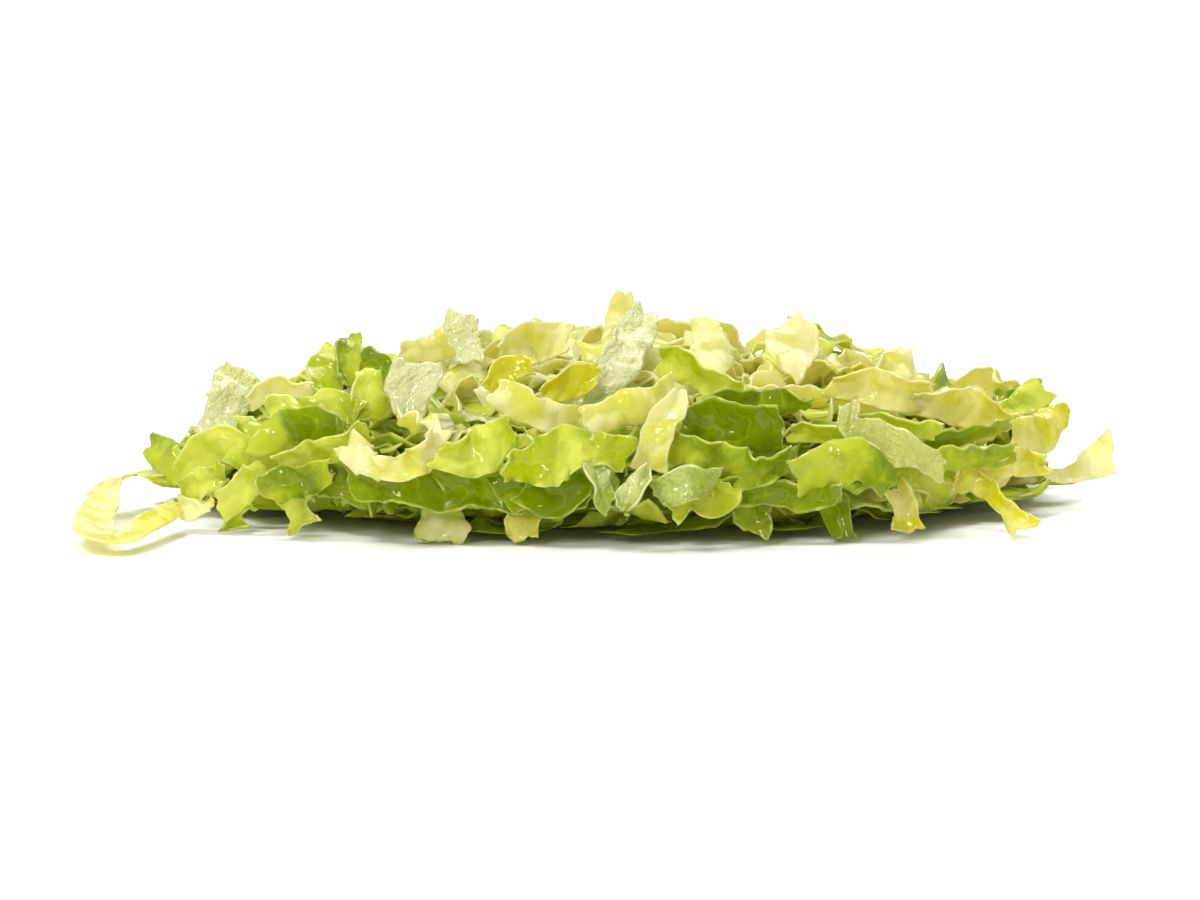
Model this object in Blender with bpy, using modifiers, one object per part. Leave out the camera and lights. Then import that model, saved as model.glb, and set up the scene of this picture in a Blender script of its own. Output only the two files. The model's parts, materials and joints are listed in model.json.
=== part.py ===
"""A mound of shredded lettuce, as tipped from a bowl on to a table.

Two fused heaps hold the mound together: the green heap below, on a low core with a flat spot
under it, and the pale heap of inner leaves on top. Round them lie the loose shreds, each one a
waved strip of leaf of its own. Metres, +Z up; the table is at z = 0 and the origin is the middle
of the flat spot. The front of the mound looks along -Y.
"""

import math
import random

import bmesh
import bpy
import numpy as np
from mathutils import Vector
from mathutils.bvhtree import BVHTree

MM = 0.001

# Driving dimensions of the mound, as half axes of rounded lenses. The front is seen from a little
# above, and a front shred follows the mound's slope only in part.
ROUNDNESS = 2.6
MOUND = (57 * MM, 40 * MM, 21 * MM)
GREEN_CORE = (45 * MM, 34 * MM, 6.6 * MM)
GREEN_CORE_BELOW = 7.5 * MM
GREEN_CORE_Z = 6 * MM
PALE_CORE = (29 * MM, 21 * MM, 3.4 * MM)
PALE_CORE_CENTRE = (7 * MM, 1 * MM, 13 * MM)
SIGHT_RISE = math.radians(8)
SIGHT_STEPS = 240
SIGHT_START = 1.2
FOLLOWS_SLOPE = 0.35

# Driving dimensions of a shred. Its edges wave in and out of its plane, its ends are cut on the
# slant, and it is cupped across.
LEAF_THICKNESS = 0.8 * MM
WAVE_LENGTH = 8 * MM
BROAD_WOBBLE = 0.16
FINE_WOBBLE = 0.07
MOST_SLANT = 0.5
CUP = (-0.25, 0.35)
FLOOR_GAP = 0.5 * MM
NEIGHBOUR_GAP = 0.35 * MM
CORE_GAP = 1.2 * MM
LIFT_STEP = 0.5 * MM
MOST_LIFTS = 40
SPINE_SAMPLES = 160

# Faces along and across a shred, and where the points of a straight shred's line lie along it
LOOSE_STEPS = (8, 2)
HEAP_STEPS = (4, 1)
STRIP_SHARES = (-0.5, -0.17, 0.17, 0.5)

# Colour, roughness of each kind of leaf
LEAVES = {
    "green_leaf": ((0.36, 0.47, 0.03), 0.45),
    "lime_leaf": ((0.55, 0.62, 0.10), 0.42),
    "pale_leaf": ((0.75, 0.75, 0.33), 0.40),
    "clear_rib": ((0.82, 0.82, 0.55), 0.30),
    "yellow_leaf": ((0.66, 0.58, 0.10), 0.40),
}

# The loose shreds of the front, from the innermost to the outermost. Each has a kind of leaf,
# its widths and turns (start, middle, end), how far its edges wave, and its line. A point of the
# line is (to the right, up, off the mound), as seen from the front and a little above.
FRONT_SHREDS = (
    ("spike_chip_top", "pale_leaf", (4.5, 4.0, 2.0), (10, -10, 20), 0.5,
     ((1.0, 17.5, -6), (1.5, 21.0, -6), (2.2, 25.4, -6))),
    ("square_chip_top_left", "clear_rib", (4.4, 4.4, 3.6), (-10, 0, 15), 0.3,
     ((-17.4, 16.5, 0), (-17.6, 19.2, 0), (-17.4, 22.6, 0))),
    ("strand_top_left", "pale_leaf", (2.2, 3.0, 3.6), (0, 30, 10), 0.4,
     ((-25.0, 17.4, 1), (-22.0, 17.8, 1), (-19.2, 19.0, 2))),
    ("crest_chip_left", "pale_leaf", (4.0, 5.5, 3.5), (30, 20, 10), 0.6,
     ((-13.0, 17.0, 0), (-9.0, 19.2, 0), (-4.5, 19.6, 0))),
    ("crest_chip_middle", "pale_leaf", (3.5, 5.0, 3.0), (15, 0, -15), 0.6,
     ((12.4, 14.6, 1), (12.6, 18.2, 1), (12.0, 21.8, 1))),
    ("crest_chip_right", "pale_leaf", (5.0, 6.8, 3.2), (5, -8, 10), 0.5,
     ((21.0, 15.6, 1), (22.8, 18.4, 1), (24.4, 21.6, 1))),
    ("far_right_chip", "pale_leaf", (4.0, 4.0, 2.0), (10, 0, -20), 0.5,
     ((33.0, 13.8, 1), (35.0, 16.0, 1), (36.4, 18.2, 1))),
    ("right_rim_chip", "lime_leaf", (3.0, 3.4, 3.4), (-20, 0, 20), 0.4,
     ((48.0, 10.0, 1), (50.6, 11.6, 1), (53.4, 13.6, 1))),
    ("right_rim_leaf", "yellow_leaf", (3.8, 5.0, 2.2), (10, 0, -15), 0.7,
     ((48.8, 7.2, 1), (52.4, 8.0, 1), (56.2, 10.6, 1))),
    ("pale_chip_upper_left", "clear_rib", (4.5, 5.6, 4.6), (-15, 0, 15), 0.6,
     ((-47.4, 7.6, 1), (-46.2, 11.6, 1), (-44.4, 15.4, 1))),
    ("long_pale_left", "pale_leaf", (2.4, 3.0, 2.4), (30, 20, 40), 0.5,
     ((-43.4, 12.0, 1), (-40.0, 13.6, 1), (-35.6, 13.4, 1))),
    ("green_chip_left_a", "lime_leaf", (3.0, 3.8, 2.6), (-10, 0, 25), 0.5,
     ((-34.0, 12.8, 1), (-34.4, 15.8, 1), (-33.4, 18.4, 1))),
    ("green_chip_left_b", "green_leaf", (3.0, 3.4, 1.6), (20, 5, -20), 0.5,
     ((-31.2, 13.4, 2), (-31.4, 16.6, 2), (-30.4, 19.6, 2))),
    ("green_leaf_left", "green_leaf", (3.0, 3.4, 2.0), (30, 10, -10), 0.6,
     ((-29.6, 16.6, 1), (-27.0, 15.8, 1), (-24.4, 14.6, 1))),
    ("lime_chip_left", "lime_leaf", (4.0, 4.4, 3.0), (10, 0, -15), 0.4,
     ((-29.2, 9.4, 2), (-29.0, 12.6, 2), (-28.6, 15.4, 2))),
    ("left_corner_leaf", "green_leaf", (2.4, 4.0, 4.0), (10, -10, 10), 0.5,
     ((-55.6, 6.8, 1), (-53.6, 5.2, 1), (-51.0, 3.2, 1))),
    ("left_side_leaf", "lime_leaf", (3.6, 5.2, 4.0), (20, 0, -10), 0.6,
     ((-51.6, 3.0, 2), (-48.6, 5.2, 2), (-45.6, 6.8, 2), (-43.0, 4.6, 2))),
    ("folded_leaf_left", "green_leaf", (4.6, 5.2, 3.6), (-35, 15, 45), 0.8,
     ((-43.2, 7.0, 3), (-40.4, 7.8, 3), (-36.6, 8.6, 3), (-31.4, 7.6, 2))),
    ("lime_leaf_left", "lime_leaf", (2.4, 3.4, 2.6), (10, 25, 10), 0.7,
     ((-39.6, 4.6, 3), (-35.6, 5.2, 3), (-32.0, 6.6, 3), (-28.8, 8.6, 3))),
    ("low_leaf_left_a", "lime_leaf", (2.8, 3.6, 2.4), (15, 0, 20), 0.7,
     ((-50.4, 0.4, 1), (-48.2, 1.6, 1), (-45.2, 3.2, 1))),
    ("low_leaf_left_b", "lime_leaf", (3.2, 4.0, 3.0), (-10, 15, 5), 0.8,
     ((-46.8, -0.6, 3), (-44.0, 1.2, 3), (-40.6, 3.6, 3))),
    ("low_leaf_left_c", "green_leaf", (4.0, 4.6, 3.0), (25, 5, 20), 1.0,
     ((-40.6, 0.2, 2), (-36.8, 2.2, 2), (-32.8, 3.6, 2))),
    ("clear_chip_middle_left", "clear_rib", (4.0, 6.2, 5.0), (10, -5, 10), 0.5,
     ((-24.0, 9.4, 3), (-23.6, 12.6, 3), (-22.8, 16.2, 3))),
    ("curled_shred", "pale_leaf", (3.4, 3.2, 3.4), (0, 30, 60), 0.8,
     ((-31.0, 6.8, 3), (-28.6, 4.4, 5), (-25.0, 3.6, 7), (-21.6, 5.6, 6), (-21.4, 8.6, 3),
      (-25.0, 9.4, 2))),
    ("middle_left_leaf", "lime_leaf", (3.6, 5.6, 3.4), (15, -10, 25), 0.9,
     ((-20.2, 5.2, 3), (-17.4, 4.8, 3), (-14.4, 6.2, 3), (-11.4, 8.4, 3))),
    ("ruffled_leaf_middle", "pale_leaf", (3.6, 4.2, 2.4), (-20, 20, 35), 0.8,
     ((-13.4, 13.4, 3), (-10.8, 11.6, 3), (-8.0, 10.4, 3), (-3.4, 10.2, 2))),
    ("broad_leaf_middle", "lime_leaf", (3.4, 6.0, 3.6), (25, 5, -15), 0.9,
     ((-12.4, 3.4, 3), (-8.0, 4.4, 4), (-3.6, 5.6, 4), (2.6, 5.0, 4))),
    ("green_ribbon_right", "green_leaf", (2.6, 3.4, 2.6), (30, -10, 40), 0.9,
     ((10.6, 9.4, 0), (14.0, 11.6, 0), (18.6, 11.6, 0), (24.4, 11.8, 0))),
    ("leaf_upper_right", "lime_leaf", (3.4, 4.4, 2.4), (10, 25, 40), 0.6,
     ((6.6, 17.0, 1), (10.2, 15.6, 2), (13.6, 13.8, 2), (16.6, 12.2, 2))),
    ("flat_leaf_right", "green_leaf", (2.0, 2.8, 1.6), (50, 35, 40), 0.3,
     ((36.4, 6.6, 1), (40.8, 7.6, 1), (45.0, 8.4, 1), (48.8, 9.4, 1))),
    ("wave_leaf_right", "green_leaf", (3.6, 4.6, 3.0), (10, 30, 0), 1.0,
     ((7.6, 6.6, 3), (12.4, 5.6, 3), (17.4, 3.8, 3), (21.8, 4.6, 3))),
    ("glossy_leaf_right", "green_leaf", (4.4, 5.2, 3.2), (20, 5, -15), 0.7,
     ((22.4, 2.2, 3), (26.6, 4.2, 3), (30.6, 4.2, 3), (34.0, 1.8, 3))),
    ("wavy_ribbon_right", "clear_rib", (2.4, 4.6, 2.6), (-20, 15, 0), 0.7,
     ((29.0, 11.4, 3), (29.2, 8.4, 4), (32.8, 7.0, 4), (36.2, 6.0, 4), (40.4, 3.4, 4))),
    ("tongue_far_left", "lime_leaf", (3.6, 2.4, 3.8), (10, -15, 10), 0.4,
     ((-43.6, 0.2, -2), (-45.2, -2.0, -1), (-44.8, -4.4, 0))),
    ("tongue_left", "lime_leaf", (3.8, 3.0, 4.2), (-10, 15, 0), 0.4,
     ((-37.4, 0.2, -2), (-36.9, -1.6, -1), (-36.5, -3.4, 0))),
    ("tongue_low_left", "pale_leaf", (5.4, 6.2, 4.6), (0, 5, -5), 0.4,
     ((-19.8, -0.6, -2), (-19.8, -3.0, -1), (-19.8, -5.6, 0))),
    ("tongue_middle_right", "green_leaf", (6.0, 5.0, 3.4), (10, 0, -15), 0.5,
     ((17.6, 0.0, -2), (17.2, -2.0, -1), (17.4, -4.0, 0))),
    ("tongue_right", "yellow_leaf", (3.0, 3.4, 4.2), (15, 0, -20), 0.5,
     ((34.8, 1.6, -2), (35.8, -1.2, -1), (36.2, -3.8, 0))),
    ("tongue_low_right", "green_leaf", (3.6, 3.2, 1.8), (20, 0, 10), 0.3,
     ((26.4, 0.2, -2), (27.6, -2.2, -1), (28.8, -5.4, 0))),
    ("tongue_low_middle", "yellow_leaf", (4.2, 4.6, 3.2), (-15, 0, 15), 0.6,
     ((-9.8, 0.0, -2), (-9.8, -2.2, -1), (-9.6, -4.6, 0))),
    ("yellow_tail_right", "yellow_leaf", (2.8, 2.4, 3.4), (0, 25, -20), 0.5,
     ((43.2, 3.6, -1), (46.6, 0.6, 2), (50.4, -3.4, 9))),
    ("looped_shred_left", "pale_leaf", (2.2, 4.6, 2.0), (70, 35, 75), 0.3,
     ((-52.6, 3.4, 2), (-56.8, 3.2, 4), (-60.2, 1.8, 10), (-60.8, -1.2, 22), (-60.4, -4.0, 37),
      (-57.2, -4.6, 40), (-54.4, -2.6, 26), (-51.0, -0.4, 12))),
    ("tail_shred_right", "pale_leaf", (1.6, 2.4, 6.4), (20, -20, 5), 0.4,
     ((53.4, 3.0, 2), (56.4, 3.0, 2), (59.2, 4.4, 2), (61.8, 6.0, 2))),
    ("rib_shred_middle", "clear_rib", (3.4, 5.2, 2.4), (-10, 5, 0), 0.5,
     ((4.4, 22.4, 1), (2.8, 18.8, 3), (0.4, 14.8, 4), (-2.8, 9.4, 4))),
    ("arched_shred_middle", "pale_leaf", (4.2, 3.8, 3.2), (-25, 10, 20), 0.5,
     ((-2.6, 9.2, 6), (1.6, 10.8, 5), (5.0, 11.6, 5), (8.4, 14.2, 5))),
    ("forked_shred_middle", "pale_leaf", (2.2, 4.0, 4.6), (-20, 10, -10), 0.6,
     ((8.6, 12.8, 3), (7.2, 9.8, 4), (5.8, 6.6, 5), (4.6, 3.4, 5))),
)

FRONT_SEED = 100
FRONT_FACING = (0, -1, 0.25)

# The loose shreds of the back and sides, placed by a rule: kind of leaf, and bearing round the
# mound, counted anticlockwise from +X, and how far up the side it lies (0 rim, 1 crest). They lie
# just inside the mound's outside, so that the blades of the heaps come up between them.
ROUND_SHREDS = (
    ("lime_leaf", 8, 0.25), ("green_leaf", 24, 0.2), ("yellow_leaf", 40, 0.15),
    ("pale_leaf", 55, 0.45), ("green_leaf", 70, 0.2), ("lime_leaf", 86, 0.35),
    ("clear_rib", 101, 0.36), ("green_leaf", 116, 0.2), ("pale_leaf", 131, 0.15),
    ("lime_leaf", 62, 0.0), ("green_leaf", 93, 0.0), ("lime_leaf", 124, 0.0),
)
ROUND_SEED = 41
ROUND_LENGTH = (14 * MM, 24 * MM)
ROUND_WIDTH = (4.5 * MM, 6.5 * MM)
ROUND_SWELL = 0.98
RIM_RISE = math.radians(7)
CREST_RISE = math.radians(83)

# The blades of the two heaps: how many, between which heights of their core (-1 to 1), and how
# far they reach out of it as a share of their length. They stay inside a lens of their own, swollen
# by MOST_SWELL, and clear of the table by FOOT_GAP. The green heap's lens is lower than the mound.
PALE_BLADES = 36
PALE_RISES = (0.1, 0.97)
PALE_REACH = 0.36
GREEN_BLADES = 66
GREEN_RISES = (-0.5, 0.8)
GREEN_REACH = 0.48
GREEN_LENS = (57 * MM, 40 * MM, 17 * MM)
MOST_SWELL = 1.04
FOOT_GAP = 2.4 * MM
PALE_SEED = 700
GREEN_SEED = 800
BLADE_LENGTH = (12 * MM, 20 * MM)
BLADE_WIDTH = (5 * MM, 8 * MM)
ROOT_DEPTH = 2.2 * MM
TONGUES_SHARE = 0.6
MOST_DRAWS = 60
CORE_SIDES = 20
CORE_RINGS = 10


def swell(point, half_axes):
    """How far out a point is: under 1 inside the rounded lens, over 1 outside."""
    total = sum(abs(c / a) ** ROUNDNESS for c, a in zip(point, half_axes))
    return total ** (1 / ROUNDNESS)


def lens_normal(point, half_axes):
    """The outward normal of the rounded lens through a point."""
    slope = [
        math.copysign(abs(c / a) ** (ROUNDNESS - 1) / a, c) for c, a in zip(point, half_axes)
    ]
    return Vector(slope).normalized()


def depth_of_mound(right, up):
    """How far back the mound's outside is where it is seen at (right, up) from the front."""
    for step in range(SIGHT_STEPS):
        y = -SIGHT_START * MOUND[1] * (1 - step / SIGHT_STEPS)
        if swell(seen_at(right, up, y), MOUND) <= 1:
            break
    return y


def seen_at(right, up, y):
    """The place at depth y that is seen at (right, up) from the front and a little above."""
    return Vector((right, y, (up - y * math.sin(SIGHT_RISE)) / math.cos(SIGHT_RISE)))


def line_on_mound(points):
    """A shred's line from the places where its points are seen. It leans only a little with
    the mound's side, so that a short chip stands up and isn't stretched over the slope."""
    own = [depth_of_mound(right, up) for right, up, _ in points]
    middle = sum(own) / len(own)
    return [
        seen_at(right, up, middle + (y - middle) * FOLLOWS_SLOPE - off)
        for (right, up, off), y in zip(points, own)
    ]


def catmull_rom(knots, at):
    """A smooth line through the knots, read at positions counted in knots."""
    knots = np.asarray(knots, float)
    before = 2 * knots[0] - knots[1]
    after = 2 * knots[-1] - knots[-2]
    row = np.concatenate([[before], knots, [after]])
    span = np.clip(np.floor(at).astype(int), 0, len(knots) - 2)
    t = (at - span).reshape((-1,) + (1,) * (knots.ndim - 1))
    a, b, c, d = (row[span + k] for k in range(4))
    return 0.5 * (
        2 * b + (c - a) * t + (2 * a - 5 * b + 4 * c - d) * t**2 + (3 * b - a - 3 * c + d) * t**3
    )


def unit(vectors):
    return vectors / np.linalg.norm(vectors, axis=-1, keepdims=True)


class Shred:
    """A strip of leaf: a line, a width and a turn along it, and waves in its edges."""

    def __init__(self, name, leaf, line, widths, turns, ruffle, facing, draw, rooted=False):
        self.name = name
        self.leaf = leaf
        self.rooted = rooted
        self.shift = Vector((0, 0, 0))
        self.ruffle = ruffle
        self.phases = [draw.uniform(0, 2 * math.pi) for _ in range(6)]
        self.slants = [draw.uniform(-MOST_SLANT, MOST_SLANT) for _ in range(2)]
        self.cup = draw.uniform(*CUP)
        line = np.array([list(p) for p in line])
        dense = np.linspace(0, len(line) - 1, SPINE_SAMPLES)
        places = catmull_rom(line, dense)
        steps = np.linalg.norm(np.diff(places, axis=0), axis=1)
        along = np.concatenate([[0], np.cumsum(steps)])
        self.length = along[-1]
        even = np.interp(np.linspace(0, self.length, SPINE_SAMPLES), along, dense)
        self.centre = catmull_rom(line, even)
        self.waves = max(1.0, self.length / WAVE_LENGTH)
        share = np.linspace(0, 2, SPINE_SAMPLES)
        self.half_width = catmull_rom(widths, share) / 2
        self.turn = np.radians(catmull_rom(turns, share))
        self.tangent = unit(np.gradient(self.centre, axis=0))
        self.face = self.carried_face(np.array(facing, float))

    def carried_face(self, facing):
        """The side that the leaf shows, carried along the line without twisting, then turned."""
        faces = np.empty_like(self.tangent)
        for k, along in enumerate(self.tangent):
            facing = facing - along * (facing @ along)
            facing = facing / np.linalg.norm(facing)
            faces[k] = facing
        across = np.cross(self.tangent, faces)
        turn = self.turn[:, None]
        return faces * np.cos(turn) + across * np.sin(turn)

    def surface(self, rows, columns):
        """The middle surface as a grid of rows + 1 by columns + 1 places."""
        u = np.linspace(0, 1, rows + 1)
        v = np.linspace(-1, 1, columns + 1)[None, :]
        at = u * (SPINE_SAMPLES - 1)

        def read(values):
            samples = np.arange(SPINE_SAMPLES)
            if values.ndim == 1:
                return np.interp(at, samples, values)[:, None]
            return np.stack([np.interp(at, samples, c) for c in values.T], -1)[:, None, :]

        centre = read(self.centre)
        along = unit(read(self.tangent))
        face = unit(read(self.face))
        across = np.cross(along, face)
        half = read(self.half_width)
        u = u[:, None]
        turns = 2 * math.pi * self.waves * u
        left, right = v < 0, v > 0
        broad = left * np.sin(0.9 * turns + self.phases[0])
        broad = broad + right * np.sin(0.8 * turns + self.phases[1])
        fine = left * np.sin(2.3 * turns) + right * np.sin(2.7 * turns)
        wobble = BROAD_WOBBLE * broad + FINE_WOBBLE * fine
        wave = (
            left * np.sin(turns + self.phases[2]) + right * np.sin(turns + self.phases[3])
        ) * np.abs(v) ** 1.5 + 0.5 * np.sin(0.6 * turns + self.phases[4])
        slant = self.slants[0] * (1 - u) + self.slants[1] * u
        out_of_plane = self.ruffle * wave + self.cup * half * v**2
        places = (
            centre
            + across * (v * half * (1 + wobble))[..., None]
            + along * (slant * v * half)[..., None]
            + face * out_of_plane[..., None]
        )
        places = places + np.array(self.shift)
        if not self.rooted:
            places = kept_off_cores(places)
        places[..., 2] = np.maximum(places[..., 2], FLOOR_GAP)
        return places


def kept_off_cores(places):
    """Presses a loose leaf's places out of the two cores."""
    for middle, half_axes in (
        ((0, 0, GREEN_CORE_Z), GREEN_CORE),
        (PALE_CORE_CENTRE, PALE_CORE),
    ):
        axes = np.array(half_axes) + CORE_GAP
        inner = places - np.array(middle)
        out = (np.abs(inner / axes) ** ROUNDNESS).sum(-1, keepdims=True) ** (1 / ROUNDNESS)
        inside = out < 1
        places = np.where(inside, np.array(middle) + inner / np.maximum(out, 0.2), places)
    return places


def leaf_mesh(name, places, thickness):
    """A grid bent to the given places and thickened, as one closed mesh."""
    rows, columns = places.shape[0] - 1, places.shape[1] - 1
    work = bmesh.new()
    bmesh.ops.create_grid(work, x_segments=columns, y_segments=rows, size=1)
    for corner, place in zip(work.verts, places.reshape(-1, 3)):
        corner.co = place
    bmesh.ops.triangulate(work, faces=work.faces, quad_method="FIXED")
    flat = bpy.data.meshes.new(name)
    work.to_mesh(flat)
    work.free()
    leaf = bpy.data.objects.new(name, flat)
    bpy.context.scene.collection.objects.link(leaf)
    thicken = leaf.modifiers.new("leaf thickness", "SOLIDIFY")
    thicken.thickness = thickness
    thicken.offset = 0
    thicken.use_rim = True
    evaluated = leaf.evaluated_get(bpy.context.evaluated_depsgraph_get())
    solid = bpy.data.meshes.new_from_object(evaluated)
    bpy.data.objects.remove(leaf)
    bpy.data.meshes.remove(flat)
    solid.name = name
    return solid


def tree_of(mesh):
    corners = [v.co.copy() for v in mesh.vertices]
    return BVHTree.FromPolygons(corners, [tuple(p.vertices) for p in mesh.polygons])


def swollen_tree(shred, steps):
    """The shred with the gap to its neighbours added on both faces, for testing."""
    mesh = leaf_mesh("test", shred.surface(*steps), LEAF_THICKNESS + 2 * NEIGHBOUR_GAP)
    tree = tree_of(mesh)
    bpy.data.meshes.remove(mesh)
    return tree


def touches(tree, others):
    return any(tree.overlap(other) for other in others)


def lift_clear(shred, neighbours, outward):
    """Moves a shred outward until it is clear of the neighbours that lie under it."""
    for _ in range(MOST_LIFTS):
        tree = swollen_tree(shred, LOOSE_STEPS)
        if not touches(tree, neighbours):
            return
        shred.shift = shred.shift + outward * LIFT_STEP


def front_shred(number, name, leaf, widths, turns, ruffle, line):
    """A loose shred of the front, and the way it is lifted off those under it."""
    draw = random.Random(FRONT_SEED + number)
    places = line_on_mound([[value * MM for value in point] for point in line])
    middle = places[len(places) // 2]
    outward = lens_normal(middle, MOUND) + Vector((0, -1, 0))
    widths = [w * MM for w in widths]
    shred = Shred(name, leaf, places, widths, turns, ruffle * MM, FRONT_FACING, draw)
    return shred, outward.normalized()


def round_shred(number, leaf, bearing, rise):
    """A loose shred that lies along the mound's side at a bearing."""
    draw = random.Random(ROUND_SEED + number)
    length = draw.uniform(*ROUND_LENGTH)
    width = draw.uniform(*ROUND_WIDTH)
    climb = math.radians(draw.uniform(-12, 12))
    angle = math.radians(bearing)
    up_share = math.sin(RIM_RISE + (CREST_RISE - RIM_RISE) * rise)
    flat_share = math.sqrt(1 - up_share**2)
    way = Vector((math.cos(angle) * flat_share, math.sin(angle) * flat_share, up_share))
    spot = Vector([w * a for w, a in zip(way, MOUND)])
    spot = spot / swell(spot, MOUND)
    out = lens_normal(spot, MOUND)
    level = Vector((0, 0, 1)).cross(out).normalized()
    slope = out.cross(level)
    run = level * math.cos(climb) + slope * math.sin(climb)
    line = []
    for share in STRIP_SHARES:
        place = spot + run * length * share
        line.append(place / swell(place, MOUND) * ROUND_SWELL)
    turns = [draw.uniform(-35, 35) for _ in range(3)]
    widths = (0.7 * width, width, 0.6 * width)
    ruffle = draw.uniform(0.6, 1.1) * MM
    name = f"loose_shred_{number + 1:02d}"
    return Shred(name, leaf, line, widths, turns, ruffle, out, draw), out


def heap_blade(draw, spot, out, reach):
    """A blade rooted in a core: a tongue that bends over, or a shingle that stands on its edge."""
    length = draw.uniform(*BLADE_LENGTH)
    width = draw.uniform(*BLADE_WIDTH)
    level = Vector((-out.y, out.x, 0)).normalized()
    slope = out.cross(level)
    root = spot - out * ROOT_DEPTH
    if draw.random() < TONGUES_SHARE:
        spread = draw.uniform(0, 2 * math.pi)
        side = level * math.cos(spread) + slope * math.sin(spread)
        rise = length * reach * draw.uniform(0.6, 1.2)
        line = (
            root,
            root + out * rise * 0.8 + side * length * 0.2,
            root + out * rise * 1.1 + side * length * 0.55,
            root + out * rise + side * length * 0.9,
        )
        facing = out - side * 0.5
    else:
        climb = math.radians(draw.uniform(-30, 30))
        side = level * math.cos(climb) + slope * math.sin(climb)
        lean = math.radians(draw.uniform(35, 75))
        stand = root + out * width * 0.5 * math.sin(lean)
        line = [stand + side * length * share for share in STRIP_SHARES]
        facing = out * math.cos(lean) + slope * math.sin(lean)
    ruffle = draw.uniform(0.4, 0.9) * MM
    turns = [draw.uniform(-30, 30) for _ in range(3)]
    widths = (0.75 * width, width, 0.6 * width)
    return Shred("blade", "", line, widths, turns, ruffle, facing, draw, rooted=True)


def core_spot(number, count, half_axes, middle, lowest, highest):
    """Spot of that number on a core, spread evenly by the golden angle, and its normal."""
    bearing = number * math.pi * (3 - math.sqrt(5))
    rise = lowest + (highest - lowest) * (number + 0.5) / count
    flat_share = math.sqrt(1 - rise**2)
    way = Vector((math.cos(bearing) * flat_share, math.sin(bearing) * flat_share, rise))
    spot = Vector([w * a for w, a in zip(way, half_axes)])
    spot = spot / swell(spot, half_axes)
    return spot + Vector(middle), lens_normal(spot, half_axes)


def stands_out(blade, lens):
    """True where a blade would reach out of its lens, or down to the table."""
    places = blade.surface(*HEAP_STEPS).reshape(-1, 3)
    return places[:, 2].min() < FOOT_GAP or any(swell(p, lens) > MOST_SWELL for p in places)


def heap_blades(seed, count, half_axes, middle, rises, reach, lens, neighbours):
    """The blades of one heap. One that stands out or would touch a neighbour is drawn again."""
    found = []
    for number in range(count):
        spot, out = core_spot(number, count, half_axes, middle, *rises)
        draw = random.Random(seed + number)
        for _ in range(MOST_DRAWS):
            blade = heap_blade(draw, spot, out, reach)
            if stands_out(blade, lens):
                continue
            if not touches(swollen_tree(blade, HEAP_STEPS), neighbours):
                found.append(blade)
                break
    return found


def core_mesh(name, middle, half_axes, below, floor_z):
    """A rounded lens, cut flat at floor_z."""
    work = bmesh.new()
    bmesh.ops.create_uvsphere(work, u_segments=CORE_SIDES, v_segments=CORE_RINGS, radius=1)
    for corner in work.verts:
        way = corner.co.normalized()
        axes = (half_axes[0], half_axes[1], half_axes[2] if way.z > 0 else below)
        place = Vector([w * a for w, a in zip(way, axes)])
        corner.co = place / swell(place, axes) + Vector(middle)
    cut = bmesh.ops.bisect_plane(
        work,
        geom=work.verts[:] + work.edges[:] + work.faces[:],
        dist=0.00001,
        plane_co=(0, 0, floor_z),
        plane_no=(0, 0, -1),
        clear_outer=True,
    )
    rim = [part for part in cut["geom_cut"] if isinstance(part, bmesh.types.BMEdge)]
    bmesh.ops.contextual_create(work, geom=rim)
    bmesh.ops.recalc_face_normals(work, faces=work.faces)
    mesh = bpy.data.meshes.new(name)
    work.to_mesh(mesh)
    work.free()
    return mesh


def keep_largest_body(mesh):
    """Fills the pockets that the union sealed, and drops its loose scraps."""
    work = bmesh.new()
    work.from_mesh(mesh)
    left = set(work.faces)
    largest = set()
    while left:
        front = [left.pop()]
        body = set(front)
        while front:
            for edge in front.pop().edges:
                for face in edge.link_faces:
                    if face in left:
                        left.discard(face)
                        body.add(face)
                        front.append(face)
        largest = max(largest, body, key=len)
    spare = [face for face in work.faces if face not in largest]
    bmesh.ops.delete(work, geom=spare, context="FACES")
    work.to_mesh(mesh)
    work.free()


def fused_heap(name, leaf, core, blades):
    """A core and its blades joined into one body."""
    heap = bpy.data.objects.new(name, core)
    mound.objects.link(heap)
    joined = bpy.data.collections.new("blades")
    bpy.context.scene.collection.children.link(joined)
    for blade in blades:
        mesh = leaf_mesh("blade", blade.surface(*HEAP_STEPS), LEAF_THICKNESS)
        joined.objects.link(bpy.data.objects.new("blade", mesh))
    join = heap.modifiers.new("join the blades", "BOOLEAN")
    join.operation = "UNION"
    join.operand_type = "COLLECTION"
    join.collection = joined
    join.solver = "MANIFOLD"
    evaluated = heap.evaluated_get(bpy.context.evaluated_depsgraph_get())
    fused = bpy.data.meshes.new_from_object(evaluated)
    keep_largest_body(fused)
    heap.modifiers.clear()
    heap.data = fused
    for blade in list(joined.objects):
        bpy.data.objects.remove(blade)
    bpy.data.collections.remove(joined)
    heap.data.materials.clear()
    heap.data.materials.append(leaf_material(leaf))
    return heap


def leaf_material(leaf):
    """The plain colour of a kind of leaf."""
    if leaf in bpy.data.materials:
        return bpy.data.materials[leaf]
    colour, roughness = LEAVES[leaf]
    material = bpy.data.materials.new(leaf)
    material.use_nodes = True
    shader = material.node_tree.nodes["Principled BSDF"]
    shader.inputs["Base Color"].default_value = (*colour, 1)
    shader.inputs["Roughness"].default_value = roughness
    shader.inputs["Metallic"].default_value = 0
    return material


for obj in list(bpy.data.objects):
    bpy.data.objects.remove(obj)
mound = bpy.data.collections.new("shredded_lettuce")
bpy.context.scene.collection.children.link(mound)

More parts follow.
